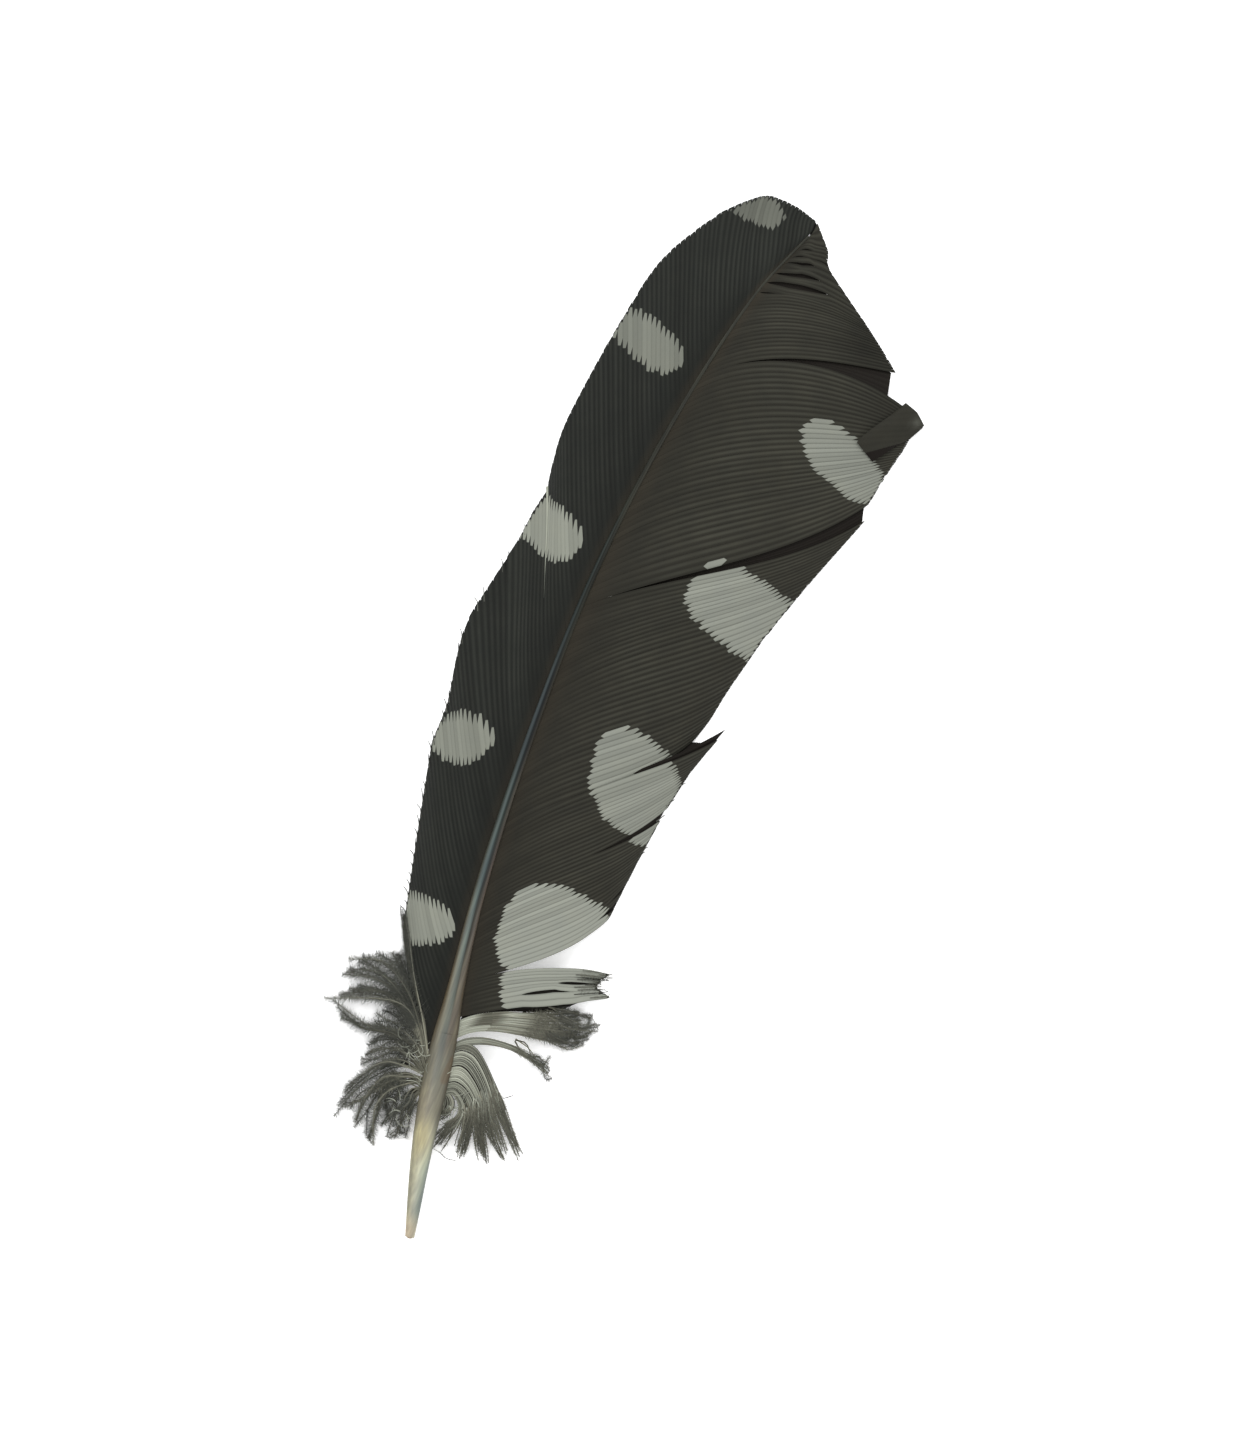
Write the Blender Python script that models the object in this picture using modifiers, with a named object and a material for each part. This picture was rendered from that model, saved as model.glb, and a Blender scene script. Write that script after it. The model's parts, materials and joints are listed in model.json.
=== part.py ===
"""Flight feather from a left wing: the raw quill, uncut, with every lock of its vanes separate.

The feather lies on its hollow side. +Y runs from the quill's end to the feather's tip, +X is the
broad inner vane's side, and +Z is up, through the outer face. All lengths below are millimetres.
"""
import math

import bmesh
import bpy
from mathutils import Matrix, Vector

MM = 0.001

# ---------------------------------------------------------------- driving dimensions
SHAFT_LENGTH = 92.2
SHAFT_RISE = 3.2            # how far the shaft's arch stands above the line between its ends
SHAFT_BASE_HEIGHT = 0.45    # height of the shaft's axis at both ends
UMBILICUS_Y = 17.4          # where the hollow barrel ends and the pith-filled rachis starts
BARREL_WALL = 0.16
CORTEX_WALL = 0.10
PITH_END_Y = 70.0
FIT_GAP = 0.05              # clearance between pieces that sit inside one another
SEAM_GAP = 0.10             # clearance between the barrel and the rachis
SHAFT_SIDES = 12

VANE_THICKNESS = 0.30
ROOT_GAP = 0.15             # clearance between a barb's root and the shaft's side
LOCK_GAP = 0.34             # clearance between neighbouring locks, counted along the shaft
DOWN_GAP = 0.24             # the same for the narrow locks at the foot of the vanes
BARB_STEP = 2.0             # grid spacing along a barb
ROOT_STEP = 2.4             # grid spacing along the shaft

# (station along the feather, sideways place of the shaft's axis)
SHAFT_PLAN = [(0, 0.12), (8, -1.65), (17, -3.05), (30, -4.7), (44, -5.3), (58, -5.1), (72, -3.5),
              (85, -0.75), (SHAFT_LENGTH, 2.1)]
# (station, outer radius)
SHAFT_RADIUS = [(0, 0.40), (3, 0.62), (8, 0.92), (13, 1.13), (17, 1.05), (20, 0.82), (24, 0.63),
                (30, 0.51), (42, 0.38), (60, 0.26), (78, 0.16), (SHAFT_LENGTH, 0.08)]
# stations of the dried pulp caps inside the barrel
PULP_CAP_STATIONS = [3.4, 5.8, 8.4, 11.2, 14.0]
PULP_CAP_SKIN = 0.10
PULP_CAP_DEPTH = 0.75       # of a cap's own radius

INNER = 1                   # side of the broad vane, +X
OUTER = -1                  # side of the narrow vane, -X

# Each lock is a run of barbs that are zipped together. A barb is (root station, tip x, tip y,
# angle at the root, angle at the tip); angles are degrees from straight sideways towards the tip.
LOCKS = {
    "inner_hook_lock_1": (INNER, [(12.9, 1.2, 7.7, 40, -95), (13.7, 2.5, 7.9, 40, -86)]),
    "inner_hook_lock_2": (INNER, [(13.8, 2.9, 8.2, 40, -85), (14.5, 4.1, 8.3, 40, -80)]),
    "inner_hook_lock_3": (INNER, [(14.6, 4.4, 8.9, 38, -74), (15.3, 5.7, 9.2, 36, -68)]),
    "inner_hook_lock_4": (INNER, [(15.4, 6.0, 9.6, 35, -64), (16.1, 7.0, 9.9, 33, -56)]),
    "inner_ribbon_lock": (INNER, [(16.3, 5.8, 16.6, 38, -52), (16.9, 6.4, 17.4, 38, -45)]),
    "inner_pale_lock_1": (INNER, [(17.0, 7.7, 20.2, 50, 12), (18.6, 7.4, 23.2, 47, 28)]),
    "inner_pale_lock_2": (INNER, [(18.8, 9.1, 24.9, 38, 21), (21.7, 8.2, 26.9, 44, 10)]),
    "inner_base_lock": (INNER, [(21.9, 6.5, 31.9, 36, 68), (24.5, 7.0, 36.5, 48, 54),
                                (28.1, 7.7, 40.8, 52, 50)]),
    "inner_lower_lock": (INNER, [(28.2, 7.6, 41.6, 52, 50), (34.5, 9.5, 47.6, 52, 44)]),
    "inner_middle_lock_1": (INNER, [(34.6, 9.7, 48.4, 52, 42), (39.0, 9.1, 52.6, 53, 50),
                                    (43.6, 10.3, 57.8, 54, 48)]),
    "inner_middle_lock_2": (INNER, [(43.6, 10.3, 57.8, 54, 48), (48.0, 12.2, 63.6, 53, 49),
                                    (52.7, 14.9, 70.7, 49, 54)]),
    "inner_flap_2_low": (INNER, [(52.8, 14.6, 71.9, 48, 54), (57.5, 15.0, 74.0, 51, 44),
                                 (60.6, 15.3, 75.5, 52, 40)]),
    "inner_flap_2_middle": (INNER, [(60.6, 15.3, 75.5, 52, 40), (64.5, 15.7, 77.0, 52, 30),
                                    (69.0, 15.9, 78.3, 52, 12)]),
    "inner_flap_2_top": (INNER, [(69.0, 15.9, 78.3, 52, 12), (72.8, 16.3, 79.1, 52, -8),
                                 (76.7, 16.6, 79.9, 52, -25)]),
    "inner_flap_1": (INNER, [(76.8, 12.9, 83.2, 52, 10), (81.5, 10.7, 84.9, 43, 0),
                             (85.4, 9.1, 86.1, 36, -12)]),
    "inner_frayed_lock": (INNER, [(85.5, 9.1, 86.2, 36, -12), (87.3, 6.8, 87.7, 34, -16),
                                  (88.8, 4.0, 89.5, 40, -20)]),
    "inner_tip_lock": (INNER, [(88.9, 4.0, 89.9, 60, 40), (90.3, 3.3, 91.6, 66, 62),
                               (91.8, 1.9, 93.1, 72, 74)]),
    "outer_tip_lock": (OUTER, [(79.6, -6.3, 90.2, 66, 70), (83.5, -4.5, 92.0, 68, 74),
                               (86.9, -2.5, 93.4, 74, 76), (91.8, 1.1, 93.3, 98, 92)]),
    "outer_upper_lock_1": (OUTER, [(48.4, -11.9, 64.3, 61, 68), (55.0, -12.0, 69.9, 62, 68),
                                   (62.4, -11.0, 77.0, 63, 68)]),
    "outer_upper_lock_2": (OUTER, [(62.4, -11.0, 77.0, 63, 68), (70.2, -9.5, 84.4, 64, 68),
                                   (75.0, -7.9, 87.6, 65, 69), (79.6, -6.3, 90.1, 66, 70)]),
    "outer_middle_lock": (OUTER, [(37.8, -13.1, 54.2, 57, 66), (43.0, -12.4, 59.3, 60, 68),
                                  (48.3, -11.7, 63.3, 61, 68)]),
    "outer_lower_lock": (OUTER, [(26.6, -13.1, 40.0, 46, 62), (32.0, -13.6, 46.7, 52, 64),
                                 (37.7, -13.3, 53.6, 56, 66)]),
    "outer_base_lock": (OUTER, [(15.4, -9.7, 24.4, 38, 62), (21.0, -11.2, 31.3, 42, 62),
                                (26.6, -13.1, 40.0, 46, 62)]),
    "outer_down_tuft_1": (OUTER, [(14.3, -13.2, 18.3, 32, -2), (15.2, -13.0, 20.8, 34, 2)]),
    "outer_down_tuft_2": (OUTER, [(13.5, -13.3, 16.0, 26, 8), (14.2, -13.4, 17.2, 30, -2)]),
    "outer_down_tuft_3": (OUTER, [(12.8, -10.6, 9.6, 14, -42), (13.4, -12.0, 13.2, 20, -10)]),
    "outer_down_tuft_4": (OUTER, [(12.1, -8.2, 6.7, 5, -66), (12.7, -9.6, 7.9, 10, -56)]),
    "outer_down_tuft_5": (OUTER, [(11.3, -5.0, 6.4, -10, -84), (12.0, -6.6, 6.2, 0, -78)]),
}

# The rigid groups: body name -> its locks. Each turns on a hinge along the shaft at its barbs' roots.
BODIES = {
    "inner_hooks": ["inner_hook_lock_1", "inner_hook_lock_2", "inner_hook_lock_3", "inner_hook_lock_4"],
    "inner_pale": ["inner_ribbon_lock", "inner_pale_lock_1", "inner_pale_lock_2"],
    "inner_base": ["inner_base_lock"],
    "inner_lower": ["inner_lower_lock"],
    "inner_middle": ["inner_middle_lock_1", "inner_middle_lock_2"],
    "inner_flap_two": ["inner_flap_2_low", "inner_flap_2_middle", "inner_flap_2_top"],
    "inner_flap_one": ["inner_flap_1"],
    "inner_tip": ["inner_frayed_lock", "inner_tip_lock"],
    "outer_tip": ["outer_tip_lock"],
    "outer_upper": ["outer_upper_lock_1", "outer_upper_lock_2"],
    "outer_middle": ["outer_middle_lock"],
    "outer_lower": ["outer_lower_lock"],
    "outer_base": ["outer_base_lock"],
    "outer_down": ["outer_down_tuft_1", "outer_down_tuft_2", "outer_down_tuft_3", "outer_down_tuft_4",
                   "outer_down_tuft_5"],
}

# (colour, roughness) of each material
HORN = ((0.42, 0.37, 0.26), 0.38)
PLUG = ((0.46, 0.33, 0.24), 0.6)
MEMBRANE = ((0.55, 0.50, 0.38), 0.5)
CORTEX = ((0.13, 0.12, 0.11), 0.35)
PITH = ((0.75, 0.72, 0.64), 0.9)
DARK_VANE = ((0.030, 0.028, 0.023), 0.6)
PALE_VANE = ((0.26, 0.27, 0.23), 0.65)
DOWN = ((0.12, 0.12, 0.11), 0.85)


# ---------------------------------------------------------------- helpers
def smooth_value(points, at):
    """Reads a smooth curve through (station, value) points."""
    last = len(points) - 1
    index = 0
    while index < last - 1 and at > points[index + 1][0]:
        index += 1

    def slope(k):
        low = max(k - 1, 0)
        high = min(k + 1, last)
        return (points[high][1] - points[low][1]) / (points[high][0] - points[low][0])

    start, end = points[index], points[index + 1]
    span = end[0] - start[0]
    t = (at - start[0]) / span
    return ((2 * t**3 - 3 * t**2 + 1) * start[1] + (t**3 - 2 * t**2 + t) * span * slope(index)
            + (3 * t**2 - 2 * t**3) * end[1] + (t**3 - t**2) * span * slope(index + 1))


def axis_point(y):
    """The shaft's axis at station y: bowed sideways and arched."""
    along = y / SHAFT_LENGTH
    height = SHAFT_BASE_HEIGHT + 4 * SHAFT_RISE * along * (1 - along)
    return Vector((smooth_value(SHAFT_PLAN, y), y, height))


def axis_frame(y):
    """Tangent, sideways and upward directions of the shaft at station y."""
    step = 0.05
    tangent = (axis_point(y + step) - axis_point(y - step)).normalized()
    sideways = tangent.cross(Vector((0, 0, 1))).normalized()
    return tangent, sideways, sideways.cross(tangent)


def shaft_radius(y):
    return smooth_value(SHAFT_RADIUS, y)


def root_point(side, y):
    """Where a barb leaves the shaft's side at station y."""
    sideways = axis_frame(y)[1]
    return axis_point(y) + side * (shaft_radius(y) + ROOT_GAP) * sideways


def ring(y, radius):
    """A round section of the given radius, square to the shaft at station y."""
    centre = axis_point(y)
    _, sideways, upward = axis_frame(y)
    points = []
    for k in range(SHAFT_SIDES):
        turn = 2 * math.pi * k / SHAFT_SIDES
        points.append(centre + radius * (math.cos(turn) * sideways + math.sin(turn) * upward))
    return points


def stations(start, end, step):
    """Even stations from start to end, no further apart than step."""
    count = max(1, math.ceil((end - start) / step))
    return [start + (end - start) * k / count for k in range(count + 1)]


def make_material(name, look):
    colour, roughness = look
    material = bpy.data.materials.new(name)
    material.use_nodes = True
    shader = material.node_tree.nodes["Principled BSDF"]
    shader.inputs["Base Color"].default_value = (*colour, 1)
    shader.inputs["Roughness"].default_value = roughness
    shader.inputs["Metallic"].default_value = 0
    return material


def finish_object(name, bm, look, parent):
    """Turns a bmesh in millimetres into a named object in metres under its parent."""
    bmesh.ops.recalc_face_normals(bm, faces=bm.faces)
    bmesh.ops.scale(bm, vec=(MM, MM, MM), verts=bm.verts)
    mesh = bpy.data.meshes.new(name)
    bm.to_mesh(mesh)
    bm.free()
    mesh.shade_smooth()
    mesh.set_sharp_from_angle(angle=math.radians(40))
    piece = bpy.data.objects.new(name, mesh)
    FEATHER.objects.link(piece)
    piece.data.materials.append(make_material(name + "_material", look))
    piece.parent = parent
    piece.matrix_parent_inverse = parent.matrix_basis.inverted()
    return piece


def loft(name, rings, look, parent, closed=False):
    """Skins a row of rings; an open row gets a flat cap at each end."""
    bm = bmesh.new()
    rows = [[bm.verts.new(point) for point in points] for points in rings]
    pairs = list(zip(rows, rows[1:]))
    if closed:
        pairs.append((rows[-1], rows[0]))
    for first, second in pairs:
        for k in range(SHAFT_SIDES):
            after = (k + 1) % SHAFT_SIDES
            bm.faces.new((first[k], first[after], second[after], second[k]))
    if not closed:
        bm.faces.new(rows[0])
        bm.faces.new(rows[-1])
    return finish_object(name, bm, look, parent)


# ---------------------------------------------------------------- shaft
def make_barrel(parent):
    """The calamus: a hollow tapered tube, open at both ends."""
    outside = [ring(y, shaft_radius(y)) for y in stations(0, UMBILICUS_Y, 1.6)]
    inside = [ring(y, shaft_radius(y) - BARREL_WALL) for y in stations(0, UMBILICUS_Y, 1.6)]
    loft("calamus_barrel", outside + inside[::-1], HORN, parent, closed=True)


def make_umbilicus_plug(parent):
    """The dried plug that closes the barrel's lower end, standing just proud of it."""
    proud = -0.12
    depth = 1.3
    places = stations(proud, depth, 0.5)
    clear = BARREL_WALL + FIT_GAP
    rings = [ring(y, shaft_radius(max(y, 0)) - clear) for y in places]
    loft("lower_umbilicus_plug", rings, PLUG, parent)


def make_pulp_caps(parent):
    """Thin dried cups, one behind another, across the barrel's bore."""
    for number, y in enumerate(PULP_CAP_STATIONS, 1):
        radius = shaft_radius(y) - BARREL_WALL - FIT_GAP
        depth = PULP_CAP_DEPTH * radius
        skin = PULP_CAP_SKIN
        outside = [ring(y, radius), ring(y + 0.5 * depth, 0.86 * radius), ring(y + depth, 0.35 * radius)]
        inside = [ring(y, radius - skin), ring(y + 0.5 * depth - skin, 0.86 * radius - skin),
                  ring(y + depth - skin, 0.35 * radius - 0.5 * skin)]
        loft(f"pulp_cap_{number}", inside[::-1] + outside, MEMBRANE, parent)


def make_rachis(parent):
    """The solid upper shaft: a thin horny cortex open at its foot, round a pith core."""
    start = UMBILICUS_Y + SEAM_GAP
    end = SHAFT_LENGTH - 0.3
    outside = [ring(y, shaft_radius(y)) for y in stations(start, end, 3.6)]
    inside = [ring(y, shaft_radius(y) - CORTEX_WALL) for y in stations(start, PITH_END_Y, 3.6)]
    loft("rachis_cortex", inside[::-1] + outside, CORTEX, parent)
    clear = CORTEX_WALL + FIT_GAP
    core = [ring(y, shaft_radius(y) - clear) for y in stations(start, PITH_END_Y - 3, 4.5)]
    loft("rachis_pith", core, PITH, parent)


# ---------------------------------------------------------------- vanes
def barb_at(keys, root):
    """The barb rooted at a station, read between the lock's own barbs."""
    columns = [[(key[0], key[k]) for key in keys] for k in range(1, 5)]
    return [smooth_value(column, root) for column in columns]


def barb_point(side, keys, root, along):
    """A point on a barb's centreline; along runs from 0 at the root to 1 at the tip."""
    tip_x, tip_y, leave, arrive = barb_at(keys, root)
    start = root_point(side, root)
    tip = Vector((tip_x, tip_y, 0.5 * VANE_THICKNESS))
    reach = math.hypot(tip.x - start.x, tip.y - start.y)
    leave = math.radians(leave)
    arrive = math.radians(arrive)
    t = along
    to_start = 2 * t**3 - 3 * t**2 + 1
    point = to_start * start + (1 - to_start) * tip
    bend_out = reach * (t**3 - 2 * t**2 + t)
    bend_in = reach * (t**3 - t**2)
    point.x += side * (bend_out * math.cos(leave) + bend_in * math.cos(arrive))
    point.y += bend_out * math.sin(leave) + bend_in * math.sin(arrive)
    point.z = tip.z + (start.z - tip.z) * (1 - t**2)
    return point


def make_lock(name, parent):
    """One lock of zipped barbs as a cambered sheet with a real thickness."""
    side, keys = LOCKS[name]
    low = keys[0][0]
    high = keys[-1][0]
    gap = LOCK_GAP if high - low > 2.5 else DOWN_GAP
    low += gap / 2
    high -= gap / 2
    reach = (Vector(keys[0][1:3]) - root_point(side, keys[0][0]).xy).length
    across = max(2, math.ceil((high - low) / ROOT_STEP)) + 1
    lengthwise = max(5, math.ceil(reach / BARB_STEP)) + 1
    bm = bmesh.new()
    bmesh.ops.create_grid(bm, x_segments=across - 1, y_segments=lengthwise - 1, size=0.5)
    for vertex in bm.verts:
        root = low + (high - low) * (vertex.co.x + 0.5)
        vertex.co = barb_point(side, keys, root, vertex.co.y + 0.5)
    if name.startswith("outer_down"):
        look = DOWN
    elif name.startswith(("inner_hook", "inner_pale", "inner_ribbon")):
        look = PALE_VANE
    else:
        look = DARK_VANE
    piece = finish_object(name, bm, look, parent)
    solid = piece.modifiers.new("thickness", "SOLIDIFY")
    solid.thickness = VANE_THICKNESS * MM
    solid.offset = 0


def make_hinge(body, parent):
    """An empty on the line of the barbs' roots, its Y axis along the turning axis."""
    locks = [LOCKS[name] for name in BODIES[body]]
    side = locks[0][0]
    low = root_point(side, min(keys[0][0] for _, keys in locks))
    high = root_point(side, max(keys[-1][0] for _, keys in locks))
    axis = (low - high).normalized() * side
    upward = Vector((0, 0, 1))
    sideways = axis.cross(upward).normalized()
    upward = sideways.cross(axis)
    turn = Matrix((sideways, axis, upward)).transposed().to_4x4()
    hinge = bpy.data.objects.new("hinge_" + body, None)
    hinge.empty_display_size = 0.004
    FEATHER.objects.link(hinge)
    hinge.parent = parent
    hinge.matrix_basis = Matrix.Translation(MM * (low + high) / 2) @ turn
    return hinge


def rest_on_origin(frame):
    """Moves the whole feather so that the middle of its box's underside is the origin."""
    bpy.context.view_layer.update()
    graph = bpy.context.evaluated_depsgraph_get()
    corners = []
    for piece in FEATHER.objects:
        if piece.type == "MESH":
            solid = piece.evaluated_get(graph)
            corners += [solid.matrix_world @ vertex.co for vertex in solid.data.vertices]
    low = [min(corner[k] for corner in corners) for k in range(3)]
    high = [max(corner[k] for corner in corners) for k in range(3)]
    frame.location = (-(low[0] + high[0]) / 2, -(low[1] + high[1]) / 2, -low[2])


# ---------------------------------------------------------------- build
for old in list(bpy.data.objects):
    bpy.data.objects.remove(old, do_unlink=True)

FEATHER = bpy.data.collections.new("feather_quill")
bpy.context.scene.collection.children.link(FEATHER)

frame_empty = bpy.data.objects.new("feather_frame", None)
FEATHER.objects.link(frame_empty)

make_barrel(frame_empty)
make_umbilicus_plug(frame_empty)
make_pulp_caps(frame_empty)
make_rachis(frame_empty)
for body_name, lock_names in BODIES.items():
    hinge_empty = make_hinge(body_name, frame_empty)
    for lock_name in lock_names:
        make_lock(lock_name, hinge_empty)
rest_on_origin(frame_empty)
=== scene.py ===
"""Looks of the feather quill: every barb of the vanes, the down, the horn shaft, and the scan-like view."""
import json
import math
import random

import bpy
import numpy as np
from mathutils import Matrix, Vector

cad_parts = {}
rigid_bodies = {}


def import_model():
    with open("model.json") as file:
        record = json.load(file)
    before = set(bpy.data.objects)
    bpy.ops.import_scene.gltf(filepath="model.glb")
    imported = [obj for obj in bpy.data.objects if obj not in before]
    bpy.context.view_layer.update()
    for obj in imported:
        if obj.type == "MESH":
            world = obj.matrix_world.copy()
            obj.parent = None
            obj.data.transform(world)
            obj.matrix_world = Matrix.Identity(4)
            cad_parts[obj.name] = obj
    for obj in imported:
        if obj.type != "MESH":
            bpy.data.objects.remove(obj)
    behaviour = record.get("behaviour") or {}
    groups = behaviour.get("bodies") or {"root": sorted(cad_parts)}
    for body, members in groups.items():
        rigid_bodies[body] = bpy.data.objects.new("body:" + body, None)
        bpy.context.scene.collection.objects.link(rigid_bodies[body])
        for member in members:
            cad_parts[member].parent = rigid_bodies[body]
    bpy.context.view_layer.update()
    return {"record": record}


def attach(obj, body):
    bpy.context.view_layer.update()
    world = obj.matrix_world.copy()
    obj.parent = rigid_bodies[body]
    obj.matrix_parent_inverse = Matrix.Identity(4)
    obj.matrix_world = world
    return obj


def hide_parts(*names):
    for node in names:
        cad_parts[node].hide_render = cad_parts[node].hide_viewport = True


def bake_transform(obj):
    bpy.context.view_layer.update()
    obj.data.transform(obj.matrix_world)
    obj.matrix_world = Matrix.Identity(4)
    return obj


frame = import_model()

MM = 0.001

# ---------------------------------------------------------------- design values, in millimetres
# The same numbers as the frame's own design, in the feather's coordinates: the origin is the quill's
# end, +Y runs to the feather's tip and +X to the broad inner vane.
SHAFT_LENGTH = 92.2
SHAFT_RISE = 3.2
SHAFT_BASE_HEIGHT = 0.45
UMBILICUS_Y = 17.4
BARREL_WALL = 0.16
CORTEX_WALL = 0.10
PITH_END_Y = 70.0
PLUG_PROUD = -0.12
VANE_THICKNESS = 0.30
SHAFT_PLAN = [(0, 0.12), (8, -1.65), (17, -3.05), (30, -4.7), (44, -5.3), (58, -5.1), (72, -3.5),
              (85, -0.75), (SHAFT_LENGTH, 2.1)]
SHAFT_RADIUS = [(0, 0.40), (3, 0.62), (8, 0.92), (13, 1.13), (17, 1.05), (20, 0.82), (24, 0.63),
                (30, 0.51), (42, 0.38), (60, 0.26), (78, 0.16), (SHAFT_LENGTH, 0.08)]
INNER = 1
OUTER = -1
UP = np.array([0.0, 0.0, 1.0])
PALE_FOOT = 0               # spot key of the lowest inner lock, which has its own pale patch
# distance between neighbouring barbs along the shaft, by station
BARB_STEP = {
    INNER: [(12, 0.40), (20, 0.32), (26, 0.34), (34, 0.48), (46, 0.56), (55, 0.60), (62, 0.66), (74, 0.66),
            (79, 0.55), (83, 0.50), (92, 0.42)],
    OUTER: [(10, 0.60), (15, 0.66), (26, 0.69), (40, 0.84), (60, 0.86), (70, 0.78), (80, 0.66), (92, 0.52)],
}

# lock: (side, barbs as (root station, tip x, tip y, angle at the root, angle at the tip))
LOCKS = {
    "inner_pale_lock_2": (INNER, [(18.85, 8.9, 25.0, 33, 26), (19.6, 7.6, 25.4, 39, 20),
                                  (20.9, 7.8, 26.2, 44, 14), (21.8, 8.2, 26.9, 40, 9)]),
    "inner_base_lock": (INNER, [(21.8, 6.5, 31.9, 38, 74), (24.5, 7.0, 36.5, 52, 68),
                                (28.15, 7.65, 41.2, 56, 60)]),
    "inner_lower_lock": (INNER, [(28.15, 7.65, 41.2, 56, 60), (31.0, 8.45, 45.0, 57, 57),
                                 (33.2, 9.2, 47.3, 57, 54), (34.55, 9.9, 49.2, 57, 52)]),
    "inner_middle_lock_1": (INNER, [(34.55, 7.8, 47.8, 57, 65), (36.5, 8.5, 50.1, 57, 60),
                                    (39.0, 8.95, 52.5, 57, 56), (43.6, 10.25, 57.8, 57, 50)]),
    "inner_middle_lock_2": (INNER, [(43.6, 10.25, 57.8, 57, 50), (48.0, 12.2, 63.6, 55, 49),
                                    (55.25, 14.9, 70.7, 41, 54)]),
    "inner_flap_2_low": (INNER, [(55.25, 14.6, 71.9, 42, 55), (58.0, 15.0, 74.0, 49, 47),
                                 (60.6, 15.3, 75.5, 52, 40)]),
    "inner_flap_2_middle": (INNER, [(60.6, 15.3, 75.5, 52, 40), (64.5, 15.7, 77.0, 52, 30),
                                    (69.0, 15.9, 78.3, 52, 12)]),
    "inner_flap_2_top": (INNER, [(69.0, 15.9, 78.3, 52, 12), (72.8, 16.3, 79.1, 52, -8),
                                 (76.75, 16.6, 79.9, 52, -25)]),
    "inner_flap_1": (INNER, [(76.75, 12.9, 83.2, 52, 10), (81.5, 10.7, 84.9, 43, 0),
                             (85.45, 9.1, 86.1, 28, -12)]),
    "inner_frayed_lock": (INNER, [(85.45, 9.1, 86.1, 28, -12), (87.3, 6.8, 87.7, 22, -16),
                                  (88.85, 4.1, 89.65, 24, -18)]),
    "inner_tip_lock": (INNER, [(88.85, 4.1, 89.75, 24, -17), (89.9, 3.85, 90.7, 32, 5),
                               (90.7, 3.4, 91.3, 48, 30), (91.1, 2.85, 91.9, 60, 55),
                               (91.8, 2.1, 92.75, 80, 85)]),
    "outer_tip_lock": (OUTER, [(79.6, -5.9, 90.75, 66, 78), (82.2, -4.1, 92.5, 71, 87),
                               (85.2, -2.5, 93.5, 79, 93), (88.5, -0.2, 93.45, 90, 99),
                               (91.8, 1.9, 92.85, 100, 102)]),
    "outer_upper_lock_1": (OUTER, [(48.35, -11.5, 63.95, 61, 68), (49.8, -11.75, 65.6, 61, 68),
                                   (52.4, -11.95, 67.9, 62, 68), (55.0, -11.9, 70.0, 62, 68),
                                   (62.4, -11.0, 77.0, 63, 68)]),
    "outer_upper_lock_2": (OUTER, [(62.4, -11.0, 77.0, 63, 68), (70.2, -9.5, 84.4, 64, 68),
                                   (75.0, -7.9, 87.7, 65, 70), (79.6, -5.9, 90.75, 66, 78)]),
    "outer_middle_lock": (OUTER, [(37.75, -13.2, 53.8, 57, 66), (40.6, -12.55, 57.0, 59, 67),
                                  (42.0, -12.2, 58.6, 60, 68), (45.4, -11.85, 61.4, 60, 68),
                                  (48.35, -11.4, 63.3, 61, 68)]),
    "outer_lower_lock": (OUTER, [(26.6, -13.0, 40.0, 46, 62), (30.0, -12.95, 43.6, 50, 63),
                                 (33.0, -13.6, 47.6, 53, 64), (35.2, -13.8, 50.7, 55, 65),
                                 (37.75, -13.2, 53.8, 57, 66)]),
    "outer_base_lock": (OUTER, [(15.4, -9.7, 24.4, 38, 62), (21.0, -11.2, 31.3, 42, 62),
                                (26.6, -13.0, 40.0, 46, 62)]),
}
PALE_LOCKS = {
    "inner_pale_lock_1": (INNER, [(16.9, 6.6, 20.0, 54, 16), (17.7, 7.4, 21.3, 44, 20),
                                  (18.5, 6.6, 23.0, 48, 30)]),
    "inner_ribbon_lock": (INNER, [(16.0, 6.25, 16.95, 46, -32), (16.6, 5.9, 17.7, 54, -16)]),
}

# lock: (barbs, pale until, down from, reach of the down, narrowing from, least width, least lightness,
# shade of its first and last barb)
PALE_STYLE = {
    "inner_pale_lock_1": (11, 0.55, 0.58, 0.60, 0.6, 0.45, 0.45, 0.0),
    "inner_ribbon_lock": (4, 0.62, 0.62, 0.30, 0.70, 0.35, 0.0, 0.3),
}
# loose down that thickens the end of a pale lock: (first plan points, last plan points, barbs)
PALE_FLUFF = {
    "inner_pale_lock_1": [([(2.0, 20.5), (4.0, 20.0), (5.4, 19.75), (6.8, 19.8), (7.9, 20.4)],
                           [(2.4, 21.3), (4.2, 21.2), (5.8, 20.9), (7.4, 20.9), (8.3, 21.3)], 10),
                          ([(2.6, 21.5), (4.4, 21.4), (6.2, 21.2), (7.6, 21.2), (8.9, 22.0)],
                           [(2.8, 22.3), (4.6, 22.6), (6.2, 22.8), (7.4, 22.9), (8.0, 23.0)], 11)],
    "inner_ribbon_lock": [([(2.6, 18.7), (4.0, 18.2), (5.2, 17.6), (6.0, 16.9), (6.4, 16.6)],
                           [(2.6, 18.9), (3.8, 18.5), (4.6, 18.2), (5.2, 18.1), (5.6, 18.4)], 3)],
}
# locks with a stained patch on their barbs, and the station from which the barbs have it
STAINED_FROM = {"inner_pale_lock_1": 17.6}
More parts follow.
